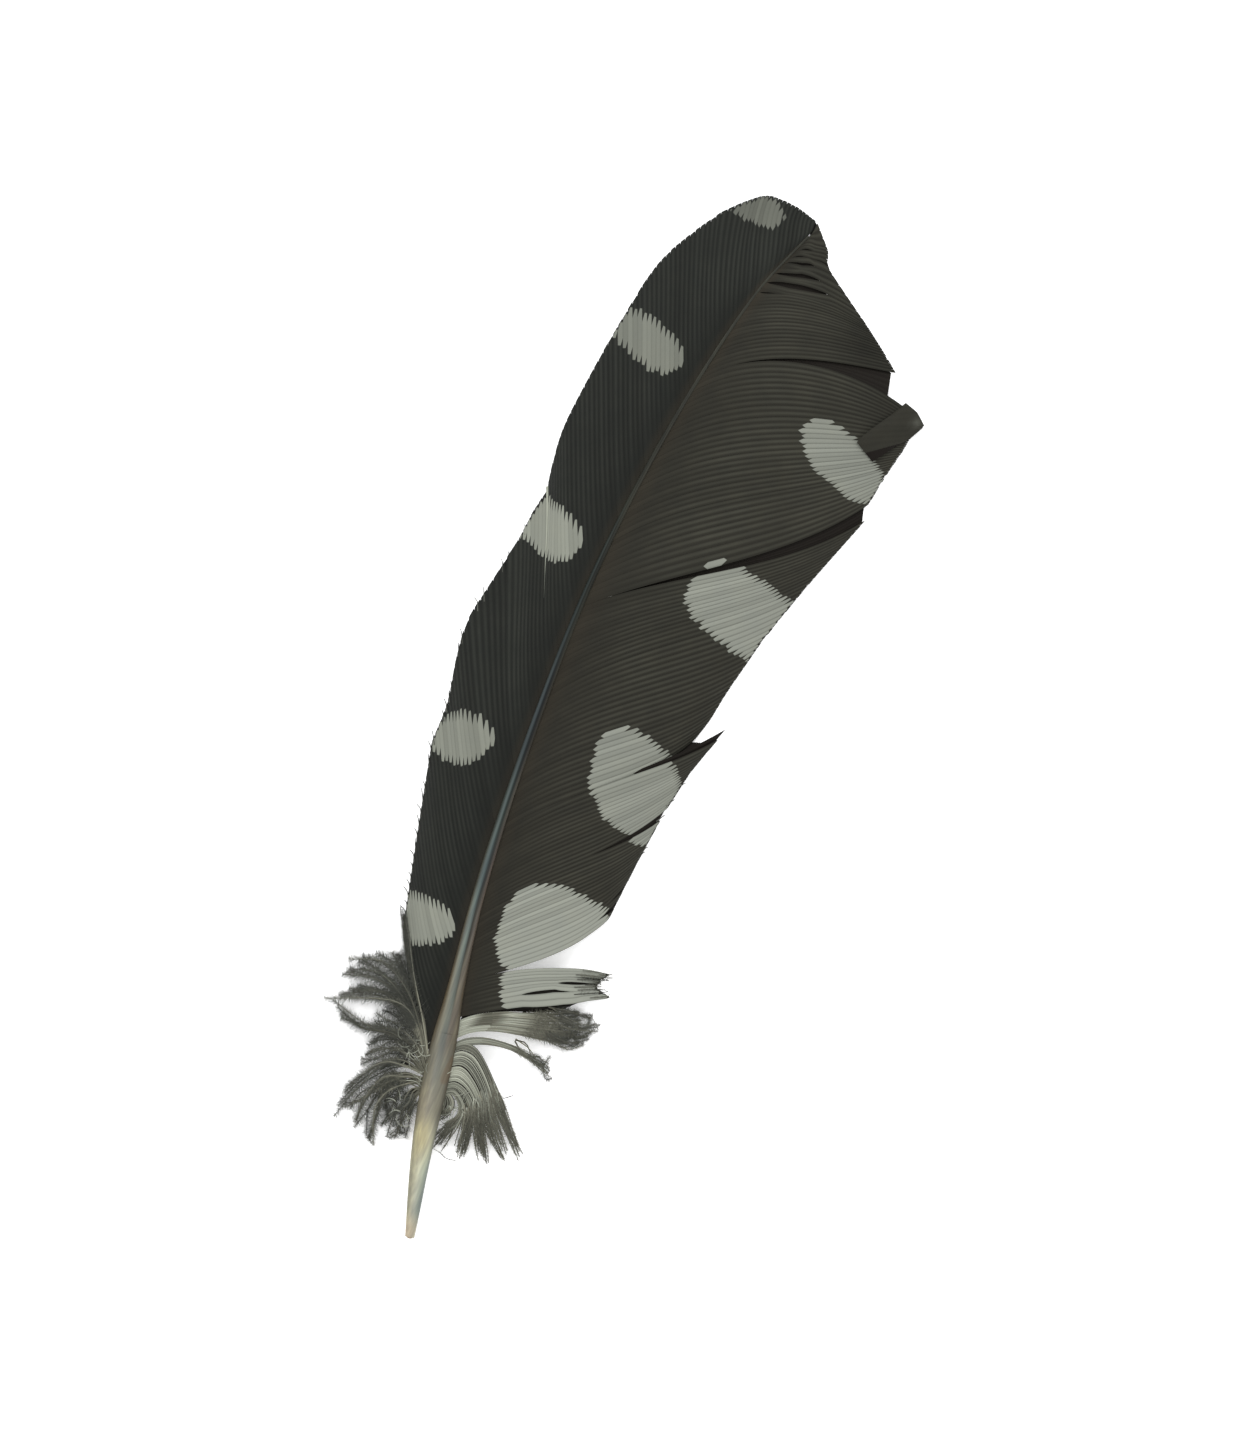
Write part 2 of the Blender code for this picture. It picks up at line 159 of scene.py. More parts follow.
# hooked barbs: (plan points of the first barb, of the last one, barbs, greyness)
HOOK_SPRAYS = {
    "inner_hook_lock_4": [
        ([(-2.1, 16.4), (-1.2, 17.1), (0.0, 16.9), (2.2, 14.9), (4.0, 12.9), (6.8, 9.6)],
         [(-2.0, 16.0), (-1.2, 16.5), (0.0, 16.3), (1.9, 14.5), (3.6, 12.1), (6.5, 9.8)], 5, 0.35)],
    "inner_hook_lock_3": [
        ([(-2.0, 15.9), (-1.2, 16.4), (0.0, 16.2), (1.9, 14.4), (3.5, 12.0), (5.5, 9.1)],
         [(-1.8, 14.8), (-0.9, 15.2), (0.1, 14.8), (1.6, 13.4), (2.7, 11.3), (5.2, 9.2)], 7, 0.0)],
    "inner_hook_lock_2": [
        ([(-1.8, 14.7), (-0.9, 15.1), (0.1, 14.7), (1.6, 13.3), (2.6, 11.2), (3.9, 8.1)],
         [(-1.5, 13.5), (-0.8, 13.8), (0.2, 13.5), (1.2, 12.6), (1.8, 11.1), (3.4, 8.5)], 8, 0.0)],
    "inner_hook_lock_1": [
        ([(-1.5, 13.4), (-0.8, 13.7), (0.2, 13.4), (1.2, 12.5), (1.7, 11.0), (1.9, 7.6)],
         [(-1.4, 12.7), (-0.8, 13.0), (0.0, 12.6), (0.7, 11.7), (1.0, 10.3), (1.5, 7.9)], 6, 0.1),
        ([(-1.4, 12.7), (-0.7, 13.0), (0.3, 12.4), (0.8, 11.4), (0.3, 9.8), (-0.4, 7.6)],
         [(-1.3, 12.3), (-0.8, 12.6), (0.0, 12.0), (0.2, 11.2), (-0.3, 10.0), (-0.8, 8.1)], 5, 0.3),
        ([(-1.3, 12.3), (-1.0, 12.6), (-0.4, 12.1), (-0.3, 11.4), (-0.7, 10.7), (-1.3, 9.9)],
         [(-1.4, 12.0), (-1.3, 11.9), (-1.3, 11.5), (-1.4, 11.1), (-1.5, 10.7), (-1.7, 10.3)], 5, 0.5)],
}
# fine loose hairs beside the hooks
LOOSE_HAIRS = {
    "inner_hook_lock_1": [[(-0.9, 7.7), (-0.1, 7.6), (0.7, 7.3), (1.5, 7.4)]],
    "inner_hook_lock_4": [[(3.2, 13.6), (3.6, 13.9), (4.1, 14.3)]],
}

# pale spots: (centre x, centre y, half length, half width, turn of the long axis from +X in degrees,
# squareness of the outline, brightness)
SPOTS = {
    INNER: [(11.3, 74.5, 4.8, 2.35, -23, 2.0, 0.74), (8.8, 59.3, 6.2, 3.3, -15, 3.4, 0.90),
            (4.5, 42.6, 5.3, 3.95, 134, 1.8, 0.88), (3.4, 27.85, 5.75, 4.7, -5, 2.5, 1.0)],
    PALE_FOOT: [(4.05, 24.1, 4.65, 4.4, 20, 2.7, 1.0)],
    OUTER: [(-4.1, 92.5, 3.6, 1.75, -15, 2.2, 0.41), (-7.75, 78.2, 3.6, 1.95, -22, 2.4, 0.66),
            (-10.1, 60.4, 3.4, 2.2, -21, 2.5, 0.90), (-10.6, 41.2, 2.75, 2.4, 22, 1.9, 0.77),
            (-9.0, 25.5, 3.7, 2.25, 3, 1.9, 0.87)],
}

# the corner of the second flap that is folded over: its fold, its free edge, and the centre of a highlight
# painted on it
FOLD_LINE = [(14.5, 81.1), (15.7, 80.7), (16.7, 79.8), (16.0, 78.5), (15.0, 77.3)]
FOLD_EDGE = [(14.5, 81.1), (13.5, 79.4), (12.5, 77.9), (11.7, 76.5), (13.6, 75.4)]
FOLD_GLINT = (16.0, 79.8)

# runs of locks that lie edge to edge, each over a dark strip of painted shade along its line with the next
LAPPED_RUNS = [
    ("outer_base_lock", "outer_lower_lock", "outer_middle_lock", "outer_upper_lock_1", "outer_upper_lock_2",
     "outer_tip_lock"),
    ("inner_base_lock", "inner_lower_lock", "inner_middle_lock_1", "inner_middle_lock_2"),
    ("inner_flap_2_low", "inner_flap_2_middle", "inner_flap_2_top"),
    ("inner_flap_1", "inner_frayed_lock", "inner_tip_lock"),
]
LAPS = {lock: following for run in LAPPED_RUNS for lock, following in zip(run, run[1:])}

# a light ridge where a lock's first barb is rolled over: lock: (start along the barb, width)
ROLLED_EDGES = {"outer_upper_lock_1": (0.42, 0.34)}

# locks whose margin is fringed with loose barb ends: lock: (share of the barbs, length)
FRINGES = {"outer_lower_lock": (0.6, 0.7), "outer_base_lock": (0.8, 0.9), "outer_middle_lock": (0.15, 0.5),
           "inner_base_lock": (0.25, 0.5), "inner_lower_lock": (0.15, 0.4)}

# open clefts between locks, filled by the layer below, coloured dark as painted shade:
# lock under the cleft: (lock above, start, end along the lower edge, end along the upper edge)
WEDGES = {"inner_flap_2_top": ("inner_flap_1", 0.1, 0.82, 0.99),
          "inner_middle_lock_2": ("inner_flap_2_low", 0.1, 1.0, 1.0),
          "inner_pale_lock_1": ("inner_pale_lock_2", 0.03, 0.85, 0.85)}

# places where neighbouring barbs have unzipped: (root station, start and end along the barb, width,
# reach of the push on the barbs beside it, whether it closes again before the margin)
SLITS = {
    INNER: [(85.6, 0.0, 0.24, 0.36, 0.8, True), (86.24, 0.0, 0.66, 0.78, 0.9, True),
            (87.4, 0.0, 0.62, 0.62, 0.9, True), (87.95, 0.0, 0.36, 0.30, 0.6, True),
            (88.45, 0.03, 0.62, 0.50, 0.8, True), (88.9, 0.06, 0.50, 0.40, 0.6, True),
            (89.7, 0.12, 0.55, 0.28, 0.6, True), (34.55, 0.58, 1.0, 0.60, 1.2, False),
            (28.15, 0.55, 1.0, 0.9, 1.6, False), (22.35, 0.80, 1.0, 0.7, 0.6, False),
            (23.0, 0.84, 1.0, 0.5, 0.6, False), (19.35, 0.45, 0.84, 0.26, 0.8, True),
            (20.1, 0.70, 1.0, 0.40, 0.6, True), (20.9, 0.66, 1.0, 0.34, 0.6, False)],
    OUTER: [(40.4, 0.82, 1.0, 0.36, 0.3, False)],
}

# slow changes of tone over the vanes: (x, y, reach, gain); the darkening at (10.0, 84.8), along the first
# flap's outer edge, is painted shade
TONES = {
    INNER: [(7.5, 76.0, 7.0, 0.14), (10.0, 84.8, 3.0, -0.45), (14.0, 81.5, 3.0, -0.30),
            (-2.0, 48.0, 9.0, -0.04), (4.0, 88.0, 3.0, -0.12)],
    OUTER: [(-1.5, 87.5, 4.5, 0.24), (-9.5, 70.0, 6.0, -0.05)],
}


# ---------------------------------------------------------------- curves of the feather
def read_curve(points, at):
    """Reads a smooth curve through (station, value) points at an array of stations."""
    at = np.asarray(at, float)
    x = np.array([point[0] for point in points], float)
    y = np.array([point[1] for point in points], float)
    before = np.maximum(np.arange(len(x)) - 1, 0)
    after = np.minimum(np.arange(len(x)) + 1, len(x) - 1)
    slope = (y[after] - y[before]) / (x[after] - x[before])
    k = np.clip(np.searchsorted(x, at, side="left") - 1, 0, len(x) - 2)
    span = x[k + 1] - x[k]
    t = (at - x[k]) / span
    return ((2 * t**3 - 3 * t**2 + 1) * y[k] + (t**3 - 2 * t**2 + t) * span * slope[k]
            + (3 * t**2 - 2 * t**3) * y[k + 1] + (t**3 - t**2) * span * slope[k + 1])


def travel_along(points):
    """The distance travelled at each point of a line."""
    return np.concatenate([[0], np.cumsum(np.linalg.norm(np.diff(points, axis=0), axis=1))])


def places_on(points, travel, at):
    """Points of a line at an array of distances along it."""
    return np.stack([np.interp(at, travel, column) for column in points.T], -1)


def draws(count, draw, *limits):
    """An array of random draws."""
    return np.array([draw(*limits) for _ in range(count)])


def axis_points(y):
    """The shaft's axis at an array of stations."""
    y = np.asarray(y, float)
    along = y / SHAFT_LENGTH
    height = SHAFT_BASE_HEIGHT + 4 * SHAFT_RISE * along * (1 - along)
    return np.stack([read_curve(SHAFT_PLAN, y), y, height], -1)


def unit(vectors):
    return vectors / np.linalg.norm(vectors, axis=-1, keepdims=True)


def axis_frames(y):
    """Tangent, sideways and upward directions of the shaft at an array of stations."""
    step = 0.05
    tangent = unit(axis_points(y + step) - axis_points(y - step))
    sideways = unit(np.cross(tangent, UP))
    return tangent, sideways, np.cross(sideways, tangent)


def root_points(side, y, sunk=0.25):
    """Where barbs leave the shaft's side, sunk into it by a share of its radius."""
    sideways = axis_frames(y)[1]
    radius = read_curve(SHAFT_RADIUS, y)[..., None]
    return axis_points(y) + side * (1 - sunk) * radius * sideways


def vane_points(side, keys, root, along):
    """Points on the vane's middle surface, for arrays of root stations and places along the barb."""
    root, t = np.broadcast_arrays(np.asarray(root, float), np.asarray(along, float))
    tip_x, tip_y, leave, arrive = [
        read_curve([(key[0], key[k]) for key in keys], root) for k in range(1, 5)]
    start = root_points(side, root)
    tip = np.stack([tip_x, tip_y, np.full_like(tip_x, 0.5 * VANE_THICKNESS)], -1)
    reach = np.hypot(tip[..., 0] - start[..., 0], tip[..., 1] - start[..., 1])
    leave = np.radians(leave)
    arrive = np.radians(arrive)
    to_start = (2 * t**3 - 3 * t**2 + 1)[..., None]
    point = to_start * start + (1 - to_start) * tip
    out = reach * (t**3 - 2 * t**2 + t)
    back = reach * (t**3 - t**2)
    point[..., 0] += side * (out * np.cos(leave) + back * np.cos(arrive))
    point[..., 1] += out * np.sin(leave) + back * np.sin(arrive)
    point[..., 2] = tip[..., 2] + (start[..., 2] - tip[..., 2]) * (1 - t**2)
    return point


# The frame says where the quill's flat end lies: from it, feather millimetres become world metres.
END_MOUNT = Vector(frame["record"]["mounts"][0]["pos_m"])
ORIGIN = np.array(END_MOUNT) - MM * axis_points(PLUG_PROUD)


def world(points):
    return ORIGIN + MM * np.asarray(points, float)


# ---------------------------------------------------------------- mesh helpers
NOWHERE = -9.0
# what a surface carries when its strip says nothing about it
PLAIN = {"across": 0.0, "along": 0.0, "chance": 0.5, "spot_from": NOWHERE, "spot_to": NOWHERE,
         "next_from": NOWHERE, "next_to": NOWHERE, "outward": 0.0,
         "under": 0.0, "paleness": 0.0, "tone": 1.0, "glow": 1.0, "stem": 0.0, "station": 0.0, "girth": 0.0}


class Sheaf:
    """Collects closed strips with their surface attributes, then becomes one mesh object."""

    def __init__(self):
        self.points = []
        self.faces = []
        self.looks = []
        self.values = {name: [] for name in PLAIN}
        self.count = 0

    def keep(self, rings, faces, look, values):
        self.faces += faces
        self.looks += [look] * len(faces)
        self.points.append(rings.reshape(-1, 3))
        for name, plain in PLAIN.items():
            full = np.broadcast_to(values.get(name, plain), rings.shape[:-1])
            self.values[name].append(full.astype(np.float32).reshape(-1))
        self.count += rings[..., 0].size

    def add_tubes(self, rings, look=0, **values):
        """Closed strips: rings is (strips, along, around, 3); values broadcast to (strips, along, around)."""
        strips, rows, around = rings.shape[:3]
        index = self.count + np.arange(strips * rows * around).reshape(strips, rows, around)
        nxt = np.roll(index, -1, axis=2)
        sides = np.stack([index[:, :-1], nxt[:, :-1], nxt[:, 1:], index[:, 1:]], -1).reshape(-1, 4)
        faces = sides.tolist() + index[:, 0, ::-1].tolist() + index[:, -1].tolist()
        self.keep(rings, faces, look, values)

    def add_loop(self, rings, look=0, **values):
        """One tube whose last ring joins its first: a hollow wall. rings is (along, around, 3)."""
        index = self.count + np.arange(rings[..., 0].size).reshape(rings.shape[:2])
        after = np.roll(index, -1, axis=0)
        sides = np.stack([index, np.roll(index, -1, axis=1), np.roll(after, -1, axis=1), after], -1)
        self.keep(rings, sides.reshape(-1, 4).tolist(), look, values)

    def build(self, name, *materials, sharp_degrees=35):
        points = world(np.concatenate(self.points))
        mesh = bpy.data.meshes.new(name)
        mesh.from_pydata(points.tolist(), [], self.faces)
        for key, parts in self.values.items():
            layer = mesh.attributes.new(key, "FLOAT", "POINT")
            layer.data.foreach_set("value", np.concatenate(parts))
        mesh.update()
        mesh.shade_smooth()
        mesh.set_sharp_from_angle(angle=math.radians(sharp_degrees))
        for material in materials:
            mesh.materials.append(material)
        mesh.polygons.foreach_set("material_index", self.looks)
        piece = bpy.data.objects.new(name, mesh)
        bpy.context.scene.collection.objects.link(piece)
        return piece


# ---------------------------------------------------------------- materials
EXPOSURE = 1.45             # the studio light overexposes the floor by this much; surfaces allow for it


def srgb(red, green, blue):
    """A colour as it should look in the studio light, 0-255 display values, as the shader's colour."""
    return tuple(((v / 255 / 12.92) if v / 255 <= 0.04045 else ((v / 255 + 0.055) / 1.055) ** 2.4) / EXPOSURE
                 for v in (red, green, blue)) + (1.0,)


class Look:
    """Short calls for building one material's node tree."""

    def __init__(self, name, roughness=0.7, specular=0.15):
        self.material = bpy.data.materials.new(name)
        self.material.use_nodes = True
        self.tree = self.material.node_tree
        self.shader = self.tree.nodes["Principled BSDF"]
        self.shader.inputs["Roughness"].default_value = roughness
        self.shader.inputs["Specular IOR Level"].default_value = specular

    def new(self, kind, **settings):
        node = self.tree.nodes.new(kind)
        for key, value in settings.items():
            setattr(node, key, value)
        return node

    def plug(self, item, socket):
        if isinstance(item, (int, float, tuple)):
            socket.default_value = item
        else:
            self.tree.links.new(item, socket)

    def colour(self, item):
        self.plug(item, self.shader.inputs["Base Color"])

    def value(self, name):
        return self.new("ShaderNodeAttribute", attribute_name=name).outputs["Fac"]

    def math(self, operation, *inputs):
        node = self.new("ShaderNodeMath", operation=operation)
        for socket, item in zip(node.inputs, inputs):
            self.plug(item, socket)
        return node.outputs[0]

    def times(self, *items):
        product = items[0]
        for item in items[1:]:
            product = self.math("MULTIPLY", product, item)
        return product

    def plus(self, first, second):
        return self.math("ADD", first, second)

    def minus(self, first, second):
        return self.math("SUBTRACT", first, second)

    def between(self, value, low, high):
        """0 below low, 1 above high, smooth between."""
        node = self.new("ShaderNodeMapRange", interpolation_type="SMOOTHSTEP")
        for name, item in (("Value", value), ("From Min", low), ("From Max", high)):
            self.plug(item, node.inputs[name])
        return node.outputs["Result"]

    def mix(self, factor, first, second, blend="MIX"):
        node = self.new("ShaderNodeMix", data_type="RGBA", blend_type=blend)
        for socket, item in ((node.inputs[0], factor), (node.inputs[6], first), (node.inputs[7], second)):
            self.plug(item, socket)
        return node.outputs[2]

    def stripes(self, value, stops):
        """A smooth run of colours over 0 to 1: stops are (place, display colour)."""
        node = self.new("ShaderNodeValToRGB")
        ramp = node.color_ramp
        while len(ramp.elements) < len(stops):
            ramp.elements.new(0.5)
        for element, (place, shade) in zip(ramp.elements, stops):
            element.position = place
            element.color = srgb(*shade)
        self.plug(value, node.inputs[0])
        return node.outputs[0]

    def noise(self, scale, detail=3.0, stretch=None):
        place = self.new("ShaderNodeTexCoord").outputs["Object"]
        if stretch is not None:
            mapping = self.new("ShaderNodeMapping")
            mapping.inputs["Scale"].default_value = stretch
            self.plug(place, mapping.inputs["Vector"])
            place = mapping.outputs[0]
        node = self.new("ShaderNodeTexNoise")
        node.inputs["Scale"].default_value = scale
        node.inputs["Detail"].default_value = detail
        self.plug(place, node.inputs["Vector"])
        return node.outputs["Fac"]

    def cloud(self, colour, pattern, low, high):
        """Multiplies a colour by tones from low to high that follow a pattern."""
        return self.mix(1.0, colour, self.mix(pattern, (*low, 1), (*high, 1)), "MULTIPLY")

    def brighten(self, colour, gain):
        node = self.new("ShaderNodeHueSaturation")
        self.plug(gain, node.inputs["Value"])
        self.plug(colour, node.inputs["Color"])
        return node.outputs[0]

    def bump(self, height, distance, strength):
        node = self.new("ShaderNodeBump")
        node.inputs["Distance"].default_value = distance
        node.inputs["Strength"].default_value = strength
        self.plug(height, node.inputs["Height"])
        self.plug(node.outputs["Normal"], self.shader.inputs["Normal"])


SPOT_MARKS = (("spot_from", "spot_to"), ("next_from", "next_to"))
SAW_DEPTH = 0.42            # how far a spot's end steps back from a barb's ridge to its sides
SOFT_END = 0.10


def barb_look(name, dark, ridge, pale, pale_gap, painted_shade):
    """Barbs: a dark ground with a lighter line along each ramus, and pale spots with saw-toothed ends; a
    near-black painted shade is mixed over the dark lower layers.
    """
    n = Look(name, roughness=0.75, specular=0.10)
    across = n.math("ABSOLUTE", n.value("across"))
    along = n.value("along")
    tooth = n.times(across, SAW_DEPTH)
    inside = n.value("paleness")
    for enter, leave in SPOT_MARKS:
        starts = n.plus(n.value(enter), tooth)
        ends = n.minus(n.value(leave), tooth)
        begun = n.between(along, starts, n.plus(starts, SOFT_END))
        over = n.between(along, n.minus(ends, SOFT_END), ends)
        inside = n.math("MAXIMUM", inside, n.times(begun, n.minus(1.0, over)))
    outward = n.value("outward")
    line = n.minus(1.0, n.between(across, 0.05, 0.75))
    patchy = n.plus(n.times(n.noise(260.0, 2.0), 1.1), 0.2)
    reveal = n.times(line, n.between(outward, 0.0, 0.40), patchy)
    ground = n.cloud(n.mix(reveal, dark, ridge), n.noise(700.0, 4.0), (0.84, 0.85, 0.88), (1.14, 1.12, 1.07))
    brown = n.times(n.minus(1.0, n.between(outward, 0.0, 0.12)), 0.3)
    ground = n.mix(brown, ground, srgb(60, 52, 40))
    light = n.mix(n.times(n.between(across, 0.40, 1.0), 0.65), pale, pale_gap)
    light = n.cloud(n.brighten(light, n.value("glow")), n.noise(420.0, 3.0), (0.93, 0.94, 0.96),
                    (1.06, 1.05, 1.02))
    gain = n.times(n.plus(0.88, n.times(n.value("chance"), 0.24)), n.value("tone"))
    colour = n.brighten(n.mix(inside, ground, light), gain)
    # painted shade: the colour turns near-black on the dark lower layers in slits, clefts and along the lines
    # between locks
    n.colour(n.mix(n.value("under"), colour, painted_shade))
    grain = n.new("ShaderNodeCombineXYZ")
    n.plug(n.times(along, 3.2), grain.inputs["X"])
    n.plug(n.times(across, 0.9), grain.inputs["Y"])
    barbules = n.new("ShaderNodeTexWave", wave_type="BANDS", bands_direction="DIAGONAL")
    barbules.inputs["Scale"].default_value = 1.0
    barbules.inputs["Distortion"].default_value = 0.6
    n.plug(grain.outputs[0], barbules.inputs["Vector"])
    n.bump(barbules.outputs["Fac"], distance=0.00002, strength=0.3)
    return n.material


def down_look():
    """Loose downy barbules: grey, lighter and browner where the barb's own stem shows, near-black where
    painted shade is mixed in, and where the lowest pale lock has its stain.
    """
    n = Look("down_look", roughness=0.9, specular=0.05)
    grey = n.mix(n.noise(350.0, 3.0), srgb(72, 74, 69), srgb(108, 110, 103))
    stem = n.mix(n.noise(200.0, 2.0), srgb(104, 103, 91), srgb(146, 145, 129))
    pale = n.mix(n.noise(300.0, 2.0), srgb(142, 145, 133), srgb(172, 175, 161))
    colour = n.mix(n.value("stem"), grey, stem)
    colour = n.mix(n.value("paleness"), colour, pale)
    # painted shade: strands picked at random are darkened towards near-black; the same mix darkens the
    # stained patch of the lowest pale lock
    colour = n.mix(n.value("under"), colour, srgb(34, 34, 30))
    n.colour(n.brighten(colour, n.plus(0.73, n.times(n.value("chance"), 0.88))))
    return n.material


# colour across the shaft from its outer-vane side (0) to its inner-vane side (1): (station, stripes)
# from station 21 to 58 the light bluish band at about 0.2 to 0.4, on the outer-vane side of the groove, is a
# painted highlight
SHAFT_STRIPES = [
    (0.4, [(0, (186, 172, 150)), (0.5, (190, 178, 156)), (1, (176, 170, 152))]),
    (2.5, [(0, (140, 138, 120)), (0.12, (146, 144, 124)), (0.30, (172, 170, 152)), (0.52, (176, 178, 163)),
           (0.75, (156, 163, 151)), (0.92, (134, 143, 135)), (1, (122, 132, 126))]),
    (5.5, [(0, (150, 148, 130)), (0.12, (150, 147, 126)), (0.30, (174, 171, 150)), (0.52, (186, 186, 168)),
           (0.75, (166, 172, 157)), (0.92, (144, 152, 143)), (1, (126, 134, 126))]),
    (8.5, [(0, (132, 128, 108)), (0.10, (160, 154, 124)), (0.30, (182, 173, 138)), (0.55, (188, 180, 146)),
           (0.78, (186, 182, 158)), (0.92, (146, 146, 130)), (1, (120, 121, 111))]),
    (11.0, [(0, (104, 100, 86)), (0.10, (124, 118, 102)), (0.30, (150, 144, 125)), (0.42, (156, 151, 134)),
            (0.60, (142, 139, 124)), (0.85, (128, 125, 110)), (1, (100, 98, 86))]),
    (14.5, [(0, (96, 94, 82)), (0.12, (106, 104, 92)), (0.28, (118, 115, 104)), (0.42, (132, 132, 123)),
            (0.55, (118, 119, 111)), (0.70, (126, 124, 112)), (0.88, (112, 110, 99)), (1, (96, 92, 80))]),
    (17.5, [(0, (84, 76, 60)), (0.10, (98, 92, 78)), (0.25, (124, 122, 110)), (0.38, (112, 115, 108)),
            (0.52, (106, 109, 103)), (0.62, (120, 114, 104)), (0.76, (104, 98, 88)), (0.9, (112, 106, 92)),
            (1, (84, 76, 62))]),
    (21.0, [(0, (72, 62, 46)), (0.10, (92, 84, 68)), (0.22, (126, 124, 112)), (0.36, (112, 116, 110)),
            (0.50, (92, 98, 94)), (0.58, (78, 80, 75)), (0.68, (112, 106, 96)), (0.80, (104, 98, 88)),
            (0.92, (84, 76, 64)), (1, (66, 60, 50))]),
    (26.0, [(0, (66, 58, 46)), (0.08, (84, 80, 68)), (0.22, (108, 112, 105)), (0.38, (112, 122, 118)),
            (0.50, (90, 98, 95)), (0.60, (58, 60, 57)), (0.68, (66, 64, 58)), (0.80, (100, 95, 88)),
            (0.92, (98, 90, 82)), (1, (72, 62, 52))]),
    (31.0, [(0, (54, 50, 40)), (0.10, (66, 68, 62)), (0.24, (88, 96, 93)), (0.38, (90, 102, 101)),
            (0.50, (70, 80, 81)), (0.62, (50, 54, 54)), (0.74, (52, 52, 50)), (0.86, (86, 80, 75)),
            (0.95, (96, 86, 80)), (1, (74, 64, 56))]),
    (37.0, [(0, (46, 48, 43)), (0.12, (58, 64, 60)), (0.26, (86, 95, 93)), (0.38, (84, 94, 94)),
            (0.52, (50, 58, 56)), (0.66, (38, 42, 40)), (0.80, (66, 65, 61)), (0.92, (84, 80, 74)),
            (1, (62, 58, 50))]),
    (44.0, [(0, (44, 47, 46)), (0.16, (64, 71, 73)), (0.32, (60, 67, 70)), (0.52, (32, 36, 37)),
            (0.70, (34, 35, 34)), (0.88, (58, 56, 52)), (1, (50, 48, 43))]),
    (58.0, [(0, (32, 35, 32)), (0.3, (50, 56, 54)), (0.55, (32, 34, 31)), (0.8, (42, 43, 39)),
            (1, (50, 51, 46))]),
    (68.0, [(0, (42, 43, 38)), (0.4, (46, 47, 42)), (0.7, (53, 53, 47)), (1, (52, 51, 46))]),
    (80.0, [(0, (60, 60, 54)), (0.4, (56, 56, 50)), (0.7, (52, 53, 47)), (1, (57, 57, 51))]),
]


# streaks and clouds in the horn: (noise scale, detail, stretch, darkest, lightest)
FIBRES = [(2600.0, 3.0, (1.8, 0.05, 1.8), 0.88, 1.11), (1300.0, 2.0, (1.6, 0.03, 1.6), 0.87, 1.12),
          (600.0, 2.0, (1.0, 0.35, 1.0), 0.94, 1.06)]


def horn_look():
    """Horn: a greenish ivory barrel, grey-brown beneath the down, then a grooved and banded rachis with a
    painted highlight beside its groove.
    """
    n = Look("horn_look", roughness=0.5, specular=0.08)
    side = n.plus(0.5, n.times(n.value("girth"), 0.5))
    station = n.value("station")
    colour = n.stripes(side, SHAFT_STRIPES[0][1])
    for (before, _), (after, stripes) in zip(SHAFT_STRIPES, SHAFT_STRIPES[1:]):
        colour = n.mix(n.between(station, before, after), colour, n.stripes(side, stripes))
    for scale, detail, stretch, low, high in FIBRES:
        streaks = n.between(n.noise(scale, detail, stretch=stretch), 0.3, 0.7)
        colour = n.cloud(colour, streaks, (low, low, low + 0.02), (high, high, high - 0.03))
    stains = n.between(n.noise(520.0, 2.0, stretch=(1, 0.5, 1)), 0.66, 0.74)
    n.colour(n.mix(n.times(stains, 0.30), colour, srgb(112, 84, 56)))
    n.bump(n.noise(1500.0, 3.0, stretch=(1.8, 0.1, 1.8)), distance=0.00004, strength=0.35)
    return n.material


def dry_look(name, first, second, roughness):
    """Plug, pulp caps and pith: two tones mixed by a fine grain."""
    n = Look(name, roughness=roughness, specular=0.1)
    n.colour(n.mix(n.noise(1400.0, 4.0), srgb(*first), srgb(*second)))
    n.bump(n.noise(2600.0, 3.0), distance=0.00004, strength=0.4)
    return n.material


def bend_with(piece, node):
    """The piece stands in for a node: its placement is baked into its mesh and the node is hidden."""
    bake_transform(piece)
    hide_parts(node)


# ---------------------------------------------------------------- vanes
# ring of a barb's section: (place across in barb steps, height in mm, value of "across")
BARB_SECTION = np.array([(-0.56, 0.010, -1.0), (-0.20, 0.012, -0.35), (0.0, 0.022, 0.0), (0.20, 0.008, 0.35),
                         (0.56, -0.008, 1.0), (0.50, -0.036, 1.0), (0.0, -0.080, 0.0), (-0.50, -0.016, -1.0)])
RING_SPACING = 0.40         # between the rings of a barb
TIP_TAPER = 0.12            # length over which a barb narrows to its tip
TIP_WIDTH = 0.75            # a barb's width at its tip, as a share of its full width
SLIT_MARGIN = 0.30          # how far an under layer reaches past its slit, along the shaft
LAP_MARGIN = 0.35           # how far one reaches past the line between two locks
# how far the dark layers of painted shade lie below what they show through
SLIT_DROP, LAP_DROP, TIP_LAP_DROP, WEDGE_DROP, DOWN_DROP = 0.22, 0.16, 0.14, 0.25, 0.30


def ripple(x, y):
    """Slow waves in the vane's height, in millimetres."""
    return 0.06 * np.sin(0.55 * x + 0.21 * y) * np.cos(0.33 * y - 0.18 * x)


def tone_at(side, x, y):
    """The vane's slow changes of tone at a place."""
    tone = np.ones_like(x)
    for cx, cy, reach, gain in TONES[side]:
        tone += gain * np.exp(-((x - cx)**2 + (y - cy)**2) / reach**2)
    return tone


